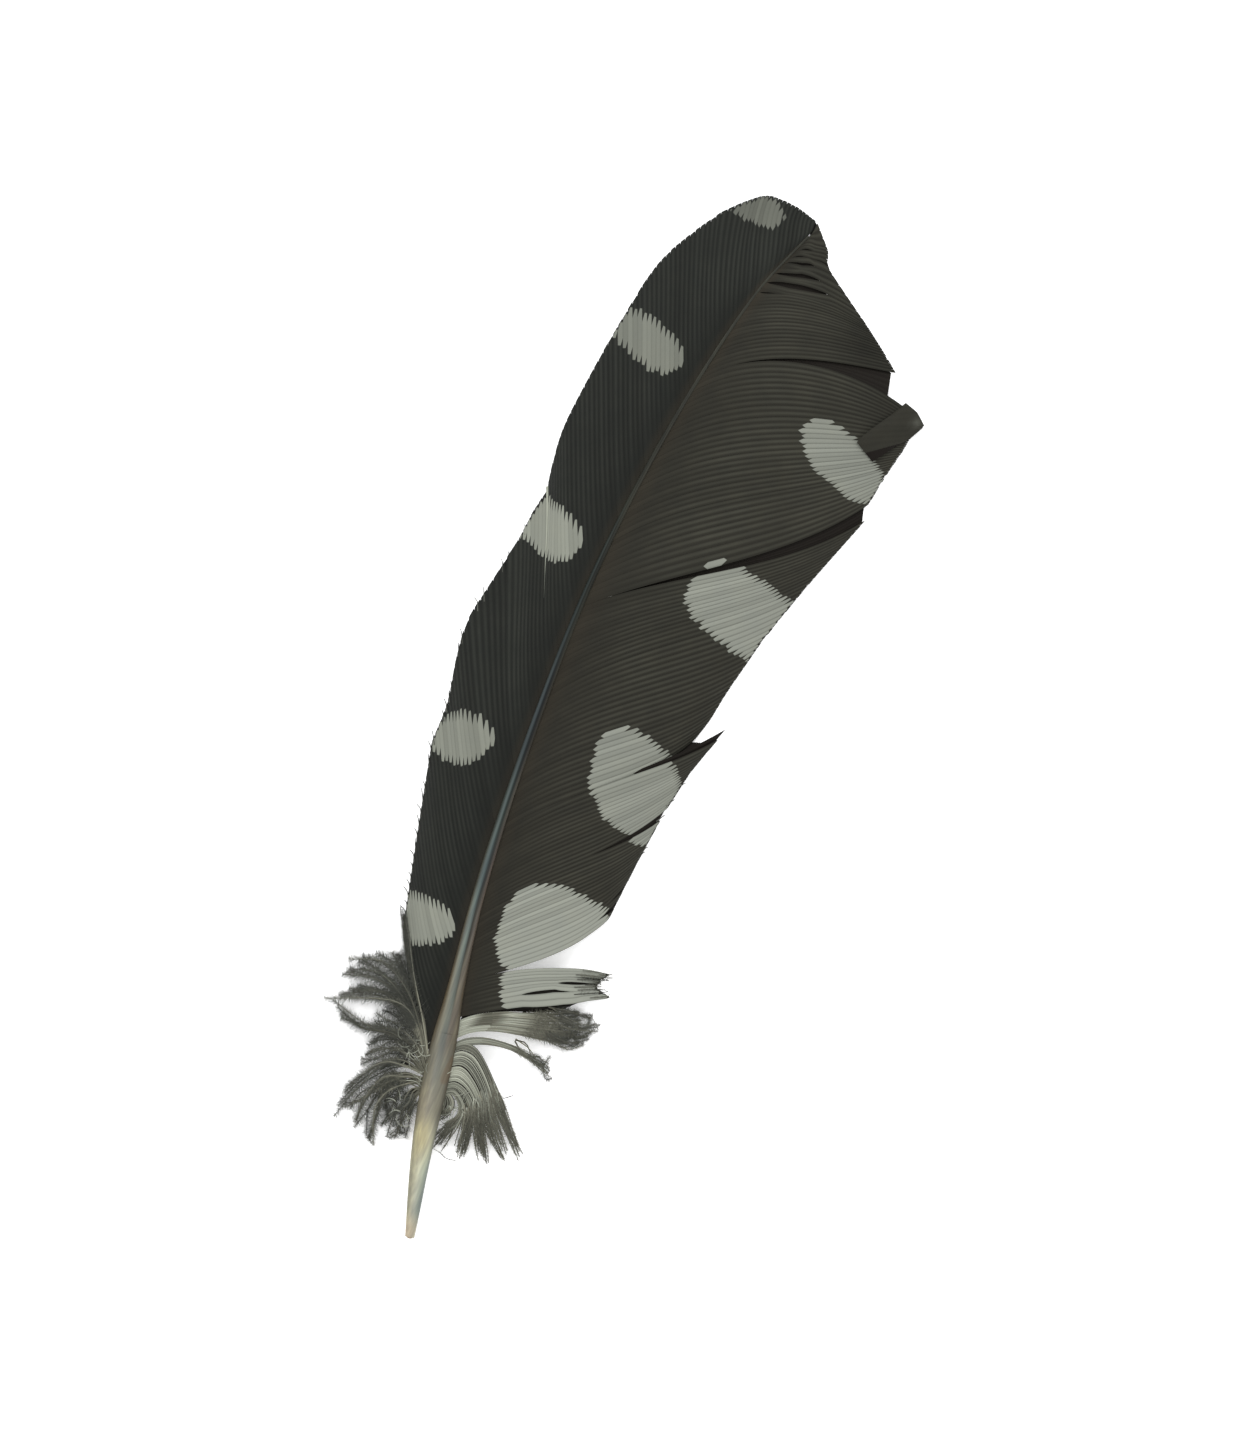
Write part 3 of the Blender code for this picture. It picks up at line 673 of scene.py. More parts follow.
def spot_spans(spots, line, length):
    """The pale spots that a barb crosses: where it enters and leaves each, and the spot's brightness."""
    spans = []
    for cx, cy, long_half, wide_half, turn, squareness, glow in spots:
        turn = math.radians(turn)
        dx = line[:, 0] - cx
        dy = line[:, 1] - cy
        u = np.abs((dx * math.cos(turn) + dy * math.sin(turn)) / long_half)
        v = np.abs((dy * math.cos(turn) - dx * math.sin(turn)) / wide_half)
        inside = np.nonzero(u**squareness + v**squareness < 1)[0]
        if len(inside) > 1:
            spans.append((length[inside[0]], length[inside[-1]], glow))
    return sorted(spans)


def open_slits(slits, centre, root, t):
    """Pushes a barb aside along the shaft where the vane has unzipped beside it."""
    moved = root.copy()
    for at, start, end, width, reach, closes in slits:
        place = np.clip((t - start) / (end - start), 0, 1)
        away = centre - at
        hand = 1 if away > 0 else -1
        push = 0.5 * width * hand * slit_swell(place, closes)
        moved = moved + push * np.exp(-max(abs(away) - 0.3, 0) / reach)
    return moved


def slit_swell(place, closes):
    """How far a slit stands open along its own length, 0 to 1."""
    return np.maximum(np.sin(np.pi * place**0.8), 0)**0.7 if closes else place**1.3


def add_barb(sheaf, side, keys, root, step, rng, slits, spots, end=1.0):
    """One barb as a closed, keeled strip that shingles with its neighbours."""
    shares = np.linspace(0, end, 80)
    line = vane_points(side, keys, root, shares)
    travel = travel_along(line)
    length = travel[-1]
    along = np.linspace(0, length, max(12, int(length / RING_SPACING)))
    t = np.interp(along, travel, shares)[:, None]
    narrow = np.clip((length - along) / TIP_TAPER, TIP_WIDTH, 1)[:, None]
    places, heights, across = BARB_SECTION.T
    roots = open_slits(slits, root, root + step * places[None] * narrow, t)
    rings = vane_points(side, keys, roots, t)
    rings[..., 2] += heights[None] * (0.5 + 0.5 * narrow) + rng.uniform(-0.008, 0.008)
    rings[..., 2] += ripple(rings[..., 0], rings[..., 1])
    dense = np.linspace(0, length, 240)
    marks = {}
    glow = np.ones_like(along)
    spans = spot_spans(spots, places_on(line[:, :2], travel, dense), dense)
    for (enter, leave), span in zip(SPOT_MARKS, spans):
        marks[enter] = span[0] + rng.uniform(-0.20, 0.20)
        marks[leave] = span[1] + rng.uniform(-0.15, 0.15)
        glow[along > span[0] - 0.8] = span[2]
    sheaf.add_tubes(rings[None], across=across, along=along[:, None], chance=rng.random(), **marks,
                    glow=glow[:, None], outward=t, tone=tone_at(side, rings[..., 0], rings[..., 1]))


def add_painted_shade_barbs(sheaf, low_line, high_line, count, drop, rng, shade=0.85):
    """Barbs of the layer below, coloured dark as painted shade, filling the wedge between two lines of
    points.
    """
    for k in range(count):
        edges = [(k - 0.1) / count, (k + 0.5) / count, (k + 1.1) / count]
        last = int(len(low_line) * (1 - 0.02 * rng.random()))
        ring = [low_line[:last] * (1 - e) + high_line[:last] * e for e in edges]
        for part, height in zip(ring, (0.0, 0.03, -0.01)):
            part[:, 2] -= drop - height
        below = ring[1] - 0.08 * UP
        rings = np.stack([*ring, below], 1)
        sheaf.add_tubes(rings[None], across=np.array([-1.0, 0.0, 1.0, 0.0]), chance=rng.random(),
                        outward=1.0, under=shade)


def barb_roots(side, low, high):
    """Stations and widths of the barbs between two stations, at the pitch of that part of the vane."""
    fine = np.linspace(low, high, 400)
    counted = np.concatenate([[0], np.cumsum(np.diff(fine) / read_curve(BARB_STEP[side], fine[1:]))])
    count = max(3, round(counted[-1]))
    edges = np.interp(np.linspace(0, counted[-1], count + 1), counted, fine)
    return (edges[1:] + edges[:-1]) / 2, np.diff(edges)


def slits_between(side, low, high):
    """The slits that open or push the barbs between two stations."""
    return [slit for slit in SLITS[side] if low - 1.5 < slit[0] < high + 1.5]


def vane_line(side, keys, root, t):
    """A line of points on the vane, following its ripples."""
    line = vane_points(side, keys, root, t)
    line[:, 2] += ripple(line[:, 0], line[:, 1])
    return line


def fill_slits(sheaf, side, keys, rng):
    """Dark barbs of painted shade below every slit that starts in this lock, its upper boundary included."""
    low, high = keys[0][0], keys[-1][0]
    for at, start, end, width, _, closes in SLITS[side]:
        if low < at <= high:
            t = np.linspace(start, end, 30)
            reach = 0.5 * width * slit_swell(np.linspace(0, 1, 30), closes) + SLIT_MARGIN
            lines = [vane_line(side, keys, at + hand * reach, t) for hand in (-1, 1)]
            add_painted_shade_barbs(sheaf, *lines, 2, SLIT_DROP, rng)


def add_lap(sheaf, below, above, drop, rng):
    """A dark strip of painted shade below the line between two locks: each is (side, keys, a root inside the
    lock).
    """
    lines = [vane_line(*edge, np.linspace(0.02, 0.99, 50)) for edge in (below, above)]
    add_painted_shade_barbs(sheaf, *lines, 1, drop, rng)


def fill_laps(sheaf, name, side, keys, rng):
    """The dark lower layer of painted shade along the line that a lock shares with the next one up the shaft.
    """
    if name in ROLLED_EDGES:
        begin, width = ROLLED_EDGES[name]
        ridge = vane_line(side, keys, keys[0][0] - 0.06, np.linspace(0.99, begin, 40))
        ridge[:, 2] += 0.04
        add_ramus(sheaf, ridge, rng, width, 0.02, pale=0.72, stem=0.1)
    if name in LAPS:
        above = LOCKS[LAPS[name]][1]
        add_lap(sheaf, (side, keys, keys[-1][0] - LAP_MARGIN), (side, above, above[0][0] + LAP_MARGIN),
                LAP_DROP, rng)
    if name == "outer_tip_lock":
        beyond = LOCKS["inner_tip_lock"][1]
        add_lap(sheaf, (side, keys, keys[-1][0] - 0.2), (INNER, beyond, beyond[-1][0] - 0.25),
                TIP_LAP_DROP, rng)


def fill_wedge(sheaf, name, side, keys, rng):
    """The layer below, coloured dark as painted shade, that shows in the open cleft between a lock and the
    one above it.
    """
    if name in WEDGES:
        above, start, low_end, high_end = WEDGES[name]
        roof = LOCKS[above][1]
        low_line = vane_line(side, keys, keys[-1][0], np.linspace(start, low_end, 50))
        high_line = vane_line(side, roof, roof[0][0], np.linspace(start, high_end, 50))
        add_painted_shade_barbs(sheaf, low_line, high_line, 4, WEDGE_DROP, rng)


def add_fringe(sheaf, side, keys, roots, rng, chance, length):
    """Thin loose ends that some barbs trail past the vane's margin."""
    for root in roots:
        if rng.random() < chance:
            line = vane_points(side, keys, root, np.linspace(0.96, 1.0, 4))
            ahead = unit(line[-1] - line[0])
            turned = np.array([ahead[0] - side * rng.uniform(-0.9, 0.3), ahead[1], 0.0])
            reach = np.linspace(0, length * rng.uniform(0.4, 1.0), 6)[1:, None]
            share = reach / reach[-1]
            end = line[-1] + reach * (unit(turned) * share + ahead * (1 - share))
            add_ramus(sheaf, np.concatenate([line, end]), rng, 0.11, 0.06, stem=0.1, under=0.35)


def fray_tips(sheaf, side, keys, rng):
    """Dark, downy ends that stand out of a lock's margin."""
    for root in np.linspace(keys[0][0] + 0.1, keys[-1][0] - 0.1, 12):
        line = vane_points(side, keys, root, np.linspace(rng.uniform(0.74, 0.95), 1.0, 12))
        end = line[-1] + (line[-1] - line[-4]) * rng.uniform(-0.2, 1.1)
        end[:2] += (rng.gauss(0, 0.12), rng.gauss(0, 0.12))
        line = np.concatenate([line, [end]]) + 0.10 * UP
        add_ramus(sheaf, line, rng, 0.07, 0.05, stem=0.2, under=0.3)
        add_barbules(sheaf, line, rng, 0.1, 0.26, pitch=0.13, stem=rng.random())


def make_vane_lock(name, materials, seed):
    """All barbs of one lock, zipped edge to edge, and the dark lower layer of painted shade that shows in its
    openings.
    """
    side, keys = LOCKS[name]
    rng = random.Random(seed)
    slits = slits_between(side, keys[0][0], keys[-1][0])
    spots = SPOTS[PALE_FOOT if name == "inner_pale_lock_2" else side]
    sheaf = Sheaf()
    roots, steps = barb_roots(side, keys[0][0], keys[-1][0])
    for root, step in zip(roots, steps):
        end = 1.0 - max(0.0, rng.gauss(0.0, 0.003))
        add_barb(sheaf, side, keys, root, step, rng, slits, spots, end=end)
    if name in FRINGES:
        add_fringe(sheaf, side, keys, roots, rng, *FRINGES[name])
    fill_slits(sheaf, side, keys, rng)
    fill_laps(sheaf, name, side, keys, rng)
    fill_wedge(sheaf, name, side, keys, rng)
    if name == "inner_flap_2_top":
        add_folded_corner(sheaf, rng)
    if name == "outer_base_lock":
        add_spray(sheaf, MARGIN_SPRAY, rng, 0.16, 0.45, 0.30, lift=0.35, sway=0.06)
    if name == "inner_pale_lock_2":
        fray_tips(sheaf, side, keys, rng)
    return sheaf.build("barbs_" + name, *materials)


def through(points, share):
    """A place at a share of the way along straight legs between points."""
    points = np.asarray(points, float)
    travel = travel_along(points)
    return places_on(points, travel, np.asarray(share) * travel[-1])


FLAP_REACH = 17.6           # from the shaft to the second flap's corner
FLAP_RISE = 2.5             # height of the shaft over the corner
FOLD_CLEARANCE = 0.14
FOLD_HEIGHT = 0.30


def add_folded_corner(sheaf, rng, count=9):
    """The second flap's outer corner, turned over onto its upper face: smooth undersides of barbs."""
    for k in range(count):
        shares = (np.array([k - 0.12, k + 0.5, k + 1.12]) / count).clip(0, 1)
        fold = through(FOLD_LINE, shares)
        free = through(FOLD_EDGE, shares)
        v = np.linspace(0, 1, 9)[:, None, None]
        plan = fold * (1 - v) + free * v
        inward = np.linalg.norm(free - fold, axis=-1)[:, None] * v / FLAP_REACH
        surface = 0.5 * VANE_THICKNESS + FLAP_RISE * (1 - (1 - inward)**2)
        arch = np.sin(np.pi * np.clip(0.12 + v * 0.88, 0, 1)) ** 0.6
        height = surface + FOLD_CLEARANCE + FOLD_HEIGHT * arch
        height = height + np.array([0.0, 0.02, -0.012])[:, None]
        top = np.concatenate([plan, height], -1)
        below = top[:, 1:2] - 0.06 * UP
        rings = np.concatenate([top, below], 1)
        # painted highlight: a pale patch round FOLD_GLINT, carried as paleness
        light = 0.16 * np.exp(-np.linalg.norm(rings[..., :2] - np.array(FOLD_GLINT), axis=-1)**2 / 0.18)
        # painted shadow: the last strip turns near-black, a dark line along the slit at the fold's end
        sheaf.add_tubes(rings[None], across=np.array([0.55, 0.45, 0.55, 0.5]), along=v[:, :, 0] * 3.0,
                        chance=0.45 + 0.1 * rng.random(), tone=1.04 - 0.12 * v[:, :, 0], paleness=light,
                        outward=1.0, under=0.9 if k == count - 1 else 0.0)


# ---------------------------------------------------------------- down
DOWN = 1                    # a sheaf's second material; its first is the vane's


def fall_in(values, low, high):
    """1 below low, 0 above high, straight between."""
    return np.clip((high - values) / (high - low), 0, 1)


def path_frame(points, spacing=0.35):
    """Even places along a line, with its sideways and upward directions there."""
    points = np.asarray(points, float)
    travel = travel_along(points)
    at = np.linspace(0, travel[-1], max(10, int(travel[-1] / spacing)))
    line = places_on(points, travel, at)
    tangent = unit(np.gradient(line, axis=0))
    sideways = unit(np.cross(tangent, UP))
    return at, line, tangent, sideways, np.cross(sideways, tangent)


def add_ramus(sheaf, points, rng, width, tip_width=0.04, pale=0.0, stem=0.8, under=0.0):
    """The stem of a downy barb: a thin keeled strip through the points, pale up to a share of its length."""
    at, line, _, sideways, upward = path_frame(points)
    share = (at / at[-1])[:, None]
    half = 0.5 * (width + (tip_width - width) * share**0.7)
    flat = np.minimum(half, 0.06)
    rings = np.stack([line + half * sideways, line + 0.9 * flat * upward, line - half * sideways,
                      line - 0.9 * flat * upward], 1)
    sheaf.add_tubes(rings[None], look=DOWN, stem=stem * (1 - 0.5 * share), chance=rng.random(), under=under,
                    paleness=fall_in(share, pale - 0.08, pale + 0.08) if pale > 0 else 0.0)


def add_barbules(sheaf, points, rng, start, reach, pitch=0.075, pale=0.0, thick=0.022, lean=42,
                 stem=0.0, under=0.0):
    """Loose barbules along both sides of a line, from a share of its length to its tip."""
    at, line, tangent, _, _ = path_frame(points)
    length = at[-1]
    count = max(2, int(length * (1 - start) / pitch))
    steps = np.linspace(0, 1, 4)[None, :, None]
    girth = thick * (1 - 0.65 * steps)
    for hand in (-1, 1):
        share = start + (1 - start) * (np.arange(count) + draws(count, rng.random)) / count
        foot = places_on(line, at, share * length)
        ahead = unit(places_on(tangent, at, share * length))
        out = unit(np.cross(ahead, UP)) * hand
        spread = np.radians(draws(count, rng.gauss, lean, 14))[:, None]
        long = reach * draws(count, rng.uniform, 0.4, 1.15) * (1.05 - 0.5 * share)
        bend = draws(count, rng.gauss, 0.0, 0.25)[:, None, None]
        rise = draws(count, rng.gauss, 0.0, 0.16)[:, None]
        way = (ahead * np.cos(spread) + out * np.sin(spread))[:, None]
        turn = (out * np.cos(spread) - ahead * np.sin(spread))[:, None]
        path = foot[:, None] + long[:, None, None] * (way * steps + turn * bend * steps**2)
        path[..., 2] = np.maximum(path[..., 2] + rise * steps[..., 0]**1.5, 0.03)
        tubes = np.stack([path + girth * turn, path + girth * (0.8 * UP - 0.5 * turn),
                          path - girth * (0.8 * UP + 0.5 * turn)], 2)
        light = (0.6 * fall_in(share, pale - 0.12, pale + 0.1) * (pale > 0))[:, None, None]
        sheaf.add_tubes(tubes, look=DOWN, paleness=light, stem=stem, under=under,
                        chance=draws(count, rng.random)[:, None, None])


def add_curls(sheaf, centre, reach, count, rng):
    """Fine loose hairs, curled at random round a place."""
    for _ in range(count):
        turn = rng.uniform(0, 2 * math.pi)
        bend = rng.choice((-1, 1)) * rng.uniform(0.8, 2.4)
        size = rng.uniform(0.7, 1.7)
        foot = np.array(centre) + np.array([rng.gauss(0, reach), rng.gauss(0, reach), rng.uniform(0.0, 0.5)])
        steps = np.linspace(0, 1, 14)
        heading = turn + bend * steps
        plan = np.cumsum(np.stack([np.cos(heading), np.sin(heading), 0 * heading], -1) * size / 14, axis=0)
        add_ramus(sheaf, foot + plan, rng, 0.06, 0.04, pale=0.9, stem=1.0)


def smooth_path(points, count=40, top=None):
    """A smooth line through a few points in plan, falling from the shaft's side or a height to the floor."""
    points = np.asarray(points, float)
    place = travel_along(points)
    at = np.linspace(0, place[-1], count)
    plan = [read_curve(list(zip(place, points[:, k])), at) for k in range(2)]
    t = at / place[-1]
    if top is None:
        top = axis_points(points[0][1])[2]
    return np.stack([*plan, 0.16 + (top - 0.16) * (1 - t**2)], -1)


# a spray: the down between two barbs, each given by a few plan points from the shaft outward
LEFT_SPRAYS = {
    "outer_down_tuft_1": [
        ([(-3.9, 14.7), (-4.9, 16.9), (-6.5, 19.7), (-7.7, 21.8), (-8.7, 23.2)],
         [(-3.9, 14.9), (-5.2, 17.1), (-6.9, 19.3), (-8.4, 20.8), (-9.6, 21.9)], 8),
        ([(-3.9, 14.7), (-5.5, 16.9), (-7.5, 19.4), (-9.9, 20.8), (-13.1, 20.4)],
         [(-3.9, 14.9), (-5.2, 17.1), (-6.9, 19.3), (-8.4, 20.8), (-9.9, 21.9)], 6),
        ([(-3.8, 14.4), (-5.7, 16.8), (-7.8, 18.6), (-10.1, 19.3), (-13.2, 18.7)],
         [(-3.9, 14.6), (-5.6, 16.9), (-7.6, 19.1), (-10.0, 20.3), (-12.0, 20.4)], 7),
    ],
    "outer_down_tuft_2": [
        ([(-3.7, 14.1), (-5.3, 16.3), (-6.9, 17.7), (-9.0, 18.1), (-13.4, 16.5)],
         [(-3.8, 14.3), (-5.5, 16.6), (-7.3, 18.2), (-9.4, 18.8), (-11.6, 18.4)], 9),
        ([(-3.7, 13.8), (-5.4, 15.1), (-7.6, 15.6), (-9.9, 15.3), (-13.2, 16.4)],
         [(-3.7, 13.9), (-5.4, 15.4), (-7.4, 15.9), (-9.4, 15.4), (-11.8, 15.3)], 5),
        ([(-3.7, 13.9), (-5.2, 15.3), (-6.6, 15.9), (-7.9, 15.9), (-9.3, 15.6)],
         [(-3.7, 14.2), (-5.3, 16.2), (-6.6, 17.2), (-7.6, 17.5), (-8.6, 17.6)], 7),
    ],
    "outer_down_tuft_3": [
        ([(-3.7, 13.5), (-5.0, 14.1), (-6.7, 14.3), (-7.8, 13.4), (-8.9, 12.3)],
         [(-3.7, 13.7), (-5.4, 14.9), (-7.1, 15.4), (-8.4, 15.0), (-9.0, 14.3)], 8),
        ([(-3.6, 13.3), (-5.2, 13.4), (-6.9, 12.7), (-8.2, 10.3), (-9.6, 7.5)],
         [(-3.7, 13.4), (-5.4, 13.8), (-7.2, 13.4), (-8.5, 11.8), (-9.3, 10.0)], 6),
    ],
    "outer_down_tuft_4": [
        ([(-3.6, 13.0), (-5.0, 12.9), (-6.2, 11.8), (-7.0, 9.4), (-7.2, 7.1)],
         [(-3.6, 13.1), (-5.2, 13.0), (-6.6, 12.0), (-7.7, 10.0), (-8.9, 8.4)], 7),
        ([(-3.6, 12.8), (-5.0, 12.5), (-6.0, 11.4), (-6.1, 9.1), (-5.5, 6.0)],
         [(-3.6, 12.9), (-5.0, 12.7), (-6.2, 11.7), (-6.6, 9.4), (-6.4, 6.8)], 6),
        ([(-3.5, 12.5), (-4.4, 12.2), (-5.2, 11.2), (-5.4, 9.6), (-4.9, 8.2)],
         [(-3.5, 12.7), (-4.6, 12.5), (-5.6, 11.8), (-6.0, 10.6), (-5.9, 9.4)], 6),
    ],
    "outer_down_tuft_5": [
        ([(-3.3, 11.7), (-3.6, 11.1), (-3.6, 9.9), (-3.5, 8.7), (-3.3, 7.7)],
         [(-3.4, 12.1), (-3.9, 11.4), (-4.3, 9.8), (-4.5, 8.2), (-4.6, 7.0)], 7),
        ([(-3.5, 12.3), (-4.1, 11.9), (-4.8, 10.8), (-5.2, 9.4), (-5.4, 8.0)],
         [(-3.4, 12.0), (-3.9, 11.2), (-4.2, 10.4), (-4.3, 9.6), (-4.3, 8.9)], 5),
    ],
}
# tuft: (down from, reach of the barbules, sway of the barbs, lightness)
DOWN_STYLE = {"outer_down_tuft_1": (0.26, 0.75, 0.14, 0.3), "outer_down_tuft_2": (0.30, 0.65, 0.16, 0.5),
              "outer_down_tuft_3": (0.24, 0.60, 0.22, 1.0), "outer_down_tuft_4": (0.24, 0.55, 0.26, 1.1),
              "outer_down_tuft_5": (0.15, 0.50, 0.26, 0.8)}
# light strands of the lowest outer barbs, lying along the vane's margin
MARGIN_SPRAY = ([(-3.7, 14.6), (-4.7, 16.6), (-6.8, 19.8), (-8.9, 22.8), (-10.4, 25.9)],
                [(-3.8, 15.0), (-5.2, 17.6), (-7.2, 21.0), (-8.9, 23.7), (-9.9, 25.3)], 8)
# loose curled hairs: (centre, reach, hairs)
CURLS = {
    "outer_down_tuft_2": ((-5.2, 15.3, 2.0), 0.60, 18), "outer_down_tuft_3": ((-4.6, 13.5, 1.9), 0.60, 16),
    "outer_down_tuft_4": ((-3.3, 14.6, 2.5), 0.45, 10), "outer_down_tuft_5": ((-4.0, 10.4, 1.4), 0.60, 18),
    "inner_hook_lock_1": ((-0.5, 11.3, 1.0), 0.45, 26), "inner_hook_lock_2": ((0.3, 12.6, 1.6), 0.50, 12),
}


def add_spray(sheaf, spray, rng, width, start, reach, lift=0.0, sway=0.08, top=None, light=0.3):
    """Downy barbs spread evenly between two lines, each a little off its place."""
    first, second, count = spray
    for k in range(count):
        share = k / max(1, count - 1)
        plan = np.array(first) * (1 - share) + np.array(second) * share
        plan[1:] += draws(2 * len(plan) - 2, rng.gauss, 0, sway).reshape(-1, 2)
        if 0 < k < count - 1:
            plan[-1] = plan[-2] + (plan[-1] - plan[-2]) * rng.uniform(0.8, 1.0)
        path = smooth_path(plan, top=top)
        path[:, 2] += lift + rng.uniform(-0.3, 0.5) * np.sin(np.linspace(0, np.pi, len(path)))
        path[:, 2] = np.maximum(path[:, 2], 0.05)
        # painted shade: about three barbs in ten are darkened
        shade = 0.5 * (rng.random() < 0.3)
        add_ramus(sheaf, path, rng, width, stem=1.0, under=shade)
        add_barbules(sheaf, path, rng, start, reach, under=shade, stem=light * rng.random())
        add_barbules(sheaf, path, rng, start, 2.2 * reach, pitch=0.09, thick=0.013, lean=58, under=0.2)


def make_left_down(name, materials, seed):
    """A tuft of down beside the barrel: sprays of loose barbs over a dark layer of painted shade, some with
    curls.
    """
    rng = random.Random(seed)
    sheaf = Sheaf()
    start, reach, sway, light = DOWN_STYLE[name]
    for spray in LEFT_SPRAYS[name]:
        roots = [smooth_path(plan)[:19] for plan in spray[:2]]
        add_painted_shade_barbs(sheaf, *roots, 3, DOWN_DROP, rng, shade=0.6)
        add_spray(sheaf, spray, rng, 0.15, start, reach, sway=sway, light=light)
    if name in CURLS:
        add_curls(sheaf, *CURLS[name], rng)
    return sheaf.build("down_" + name, *materials)


# ring of a pale barb's section: place across in half widths, and height
PALE_ACROSS = np.array([-1.06, -0.4, 0.0, 0.4, 1.06, 0.0])
PALE_HEIGHTS = np.array([0.02, 0.03, 0.05, 0.02, -0.02, -0.09])


def make_pale_lock(name, materials, seed):
    """Barbs at the foot of the inner vane: pale, zipped stems that end in loose down."""
    side, keys = PALE_LOCKS[name]
    count, pale_until, fluff_from, fluff, begin, least, dim, end_shade = PALE_STYLE[name]
    rng = random.Random(seed)
    slits = slits_between(side, keys[0][0], keys[-1][0])
    sheaf = Sheaf()
    fill_wedge(sheaf, name, side, keys, rng)
    edges = np.linspace(keys[0][0], keys[-1][0], count + 1)
    for low, high in zip(edges, edges[1:]):
        root = (low + high) / 2
        t = np.linspace(0, 1 - max(0, rng.gauss(0, 0.03)), 40)
        half = 0.5 * (high - low) * (1 - (1 - least) * np.clip((t - begin) / (1 - begin), 0, 1) ** 0.8)
        roots = open_slits(slits, root, root + half[:, None] * PALE_ACROSS, t[:, None])
        rings = vane_points(side, keys, roots, t[:, None])
        rings[..., 2] += PALE_HEIGHTS + rng.uniform(-0.05, 0.05) * t[:, None]
        until = pale_until + rng.uniform(-0.05, 0.05)
        stain = fall_in(np.abs(t - 0.27 - 0.1 * (root - 18.0)), 0.06, 0.16)
        stain = stain[:, None] * (root > STAINED_FROM.get(name, SHAFT_LENGTH))
        shade = 0.5 * stain + end_shade * (low == edges[0] or high == edges[-1])
        pale = fall_in(t, until - 0.08, until + 0.08)[:, None] * (1 - stain) * (1 - 0.2 * np.abs(PALE_ACROSS))
        sheaf.add_tubes(rings[None], look=DOWN, stem=0.8, paleness=pale, chance=dim + 0.5 * rng.random(),
                        under=shade)
        line = vane_points(side, keys, root, t) + 0.02 * UP
        add_barbules(sheaf, line, rng, fluff_from, fluff, pale=until, stem=0.8)
        line = line + np.array([rng.gauss(0, 0.22), rng.gauss(0, 0.22), 0.1]) * t[:, None]**2
        add_ramus(sheaf, line[12:], rng, 0.07, 0.04, stem=0.9)
        add_barbules(sheaf, line[20:], rng, 0.25, fluff, stem=0.7)
    for spray in PALE_FLUFF[name]:
        add_spray(sheaf, spray, rng, 0.14, 0.40, 0.42, sway=0.24, top=1.0, light=1.0)
    return sheaf.build("barbs_" + name, *materials)


def add_hook_ribbon(sheaf, first, last, edges, rng, parting, grey):
    """One flat hooked barb between two shares of the way from the first line to the last one."""
    share = np.linspace(0, 1, len(first))
    low, high = edges
    gap = rng.choice((0.05, 0.15, 0.35, 0.60)) * np.sin(np.pi * np.clip(share / 0.62, 0, 1)) ** 0.6
    slim = 1 - (1 - 0.35) * np.clip((share - parting) / 0.2, 0, 1)
    half = 0.5 * (high - low) * (1.12 - gap) * slim
    shown = share < parting + 0.22
    middle = 0.5 * (low + high) + 0.25 * (high - low) * rng.uniform(-1, 1) * share
    strips = [first * (1 - e)[:, None] + last * e[:, None]
              for e in (middle - half, middle, middle + half, middle)]
    for strip, height in zip(strips, (-0.01, 0.05, -0.01, -0.07)):
        strip[:, 2] += height + rng.uniform(0.0, 0.05)
    rings = np.stack(strips, 1)[shown]
    pale = (1 - grey) * fall_in(share[shown], parting - 0.12, parting + 0.1)[:, None]
    sheaf.add_tubes(rings[None], look=DOWN, paleness=pale * np.array([0.55, 1.0, 0.55, 0.0]), stem=0.85,
                    under=0.25 * grey, chance=rng.random())
    return strips[1]


def add_hook_tails(sheaf, line, rng, parting):
    """The loose strands that a hooked barb parts into."""
    begin = int(parting * len(line))
    for _ in range(4):
        tail = line[begin - rng.randint(0, 5):].copy()
        grow = np.linspace(0, 1, len(tail))[:, None]
        fan = np.array([rng.gauss(0, 0.75), rng.gauss(0, 0.45)])
        curl = rng.uniform(-0.22, 0.22) * np.sin(grow * rng.uniform(4, 10)) * (1 - grow)
        tail[:, :2] += fan * grow**1.2 * (1 - 0.62 * grow) + curl * np.array([1.0, 0.5])
        tail[:, 2] = np.maximum(tail[:, 2] + rng.uniform(-0.1, 0.4) * grow[:, 0], 0.05)
        tail = tail[:len(tail) - rng.randint(0, 7)]
        # painted shade: about one strand in four is darkened
        shade = 0.35 * (rng.random() < 0.25)
        add_ramus(sheaf, tail, rng, 0.13, 0.05, pale=rng.choice((0.0, 0.0, 0.4)), stem=rng.uniform(0.5, 1.0),
                  under=shade)
        add_barbules(sheaf, tail, rng, 0.10, 0.36, pitch=0.085, thick=0.019, lean=26,
                     stem=rng.uniform(0.5, 1.0), under=shade)
        add_barbules(sheaf, tail, rng, 0.30, 0.60, pitch=0.20, thick=0.012, lean=42, stem=0.3)


def make_hooks(name, materials, seed):
    """Barbs that arch out of the barrel and down side by side, each parting into downy strands."""
    rng = random.Random(seed)
    sheaf = Sheaf()
    for start, end, count, grey in HOOK_SPRAYS[name]:
        first = smooth_path(start)
        last = smooth_path(end)
        # painted shade: a dark lower layer beneath the first part of each spray
        shadow = [line[:27] for line in (first, last)]
        add_painted_shade_barbs(sheaf, *shadow, 2, DOWN_DROP, rng)
        for k in range(count):
            parting = rng.uniform(0.46, 0.60)
            line = add_hook_ribbon(sheaf, first, last, (k / count, (k + 1) / count), rng, parting, grey)
            add_hook_tails(sheaf, line, rng, parting)
    if name in CURLS:
        add_curls(sheaf, *CURLS[name], rng)
    for plan in LOOSE_HAIRS.get(name, ()):
        path = smooth_path(plan, top=0.5)
        add_ramus(sheaf, path, rng, 0.05, stem=0.5)
        add_barbules(sheaf, path, rng, 0.3, 0.15)
    return sheaf.build("barbs_" + name, *materials)


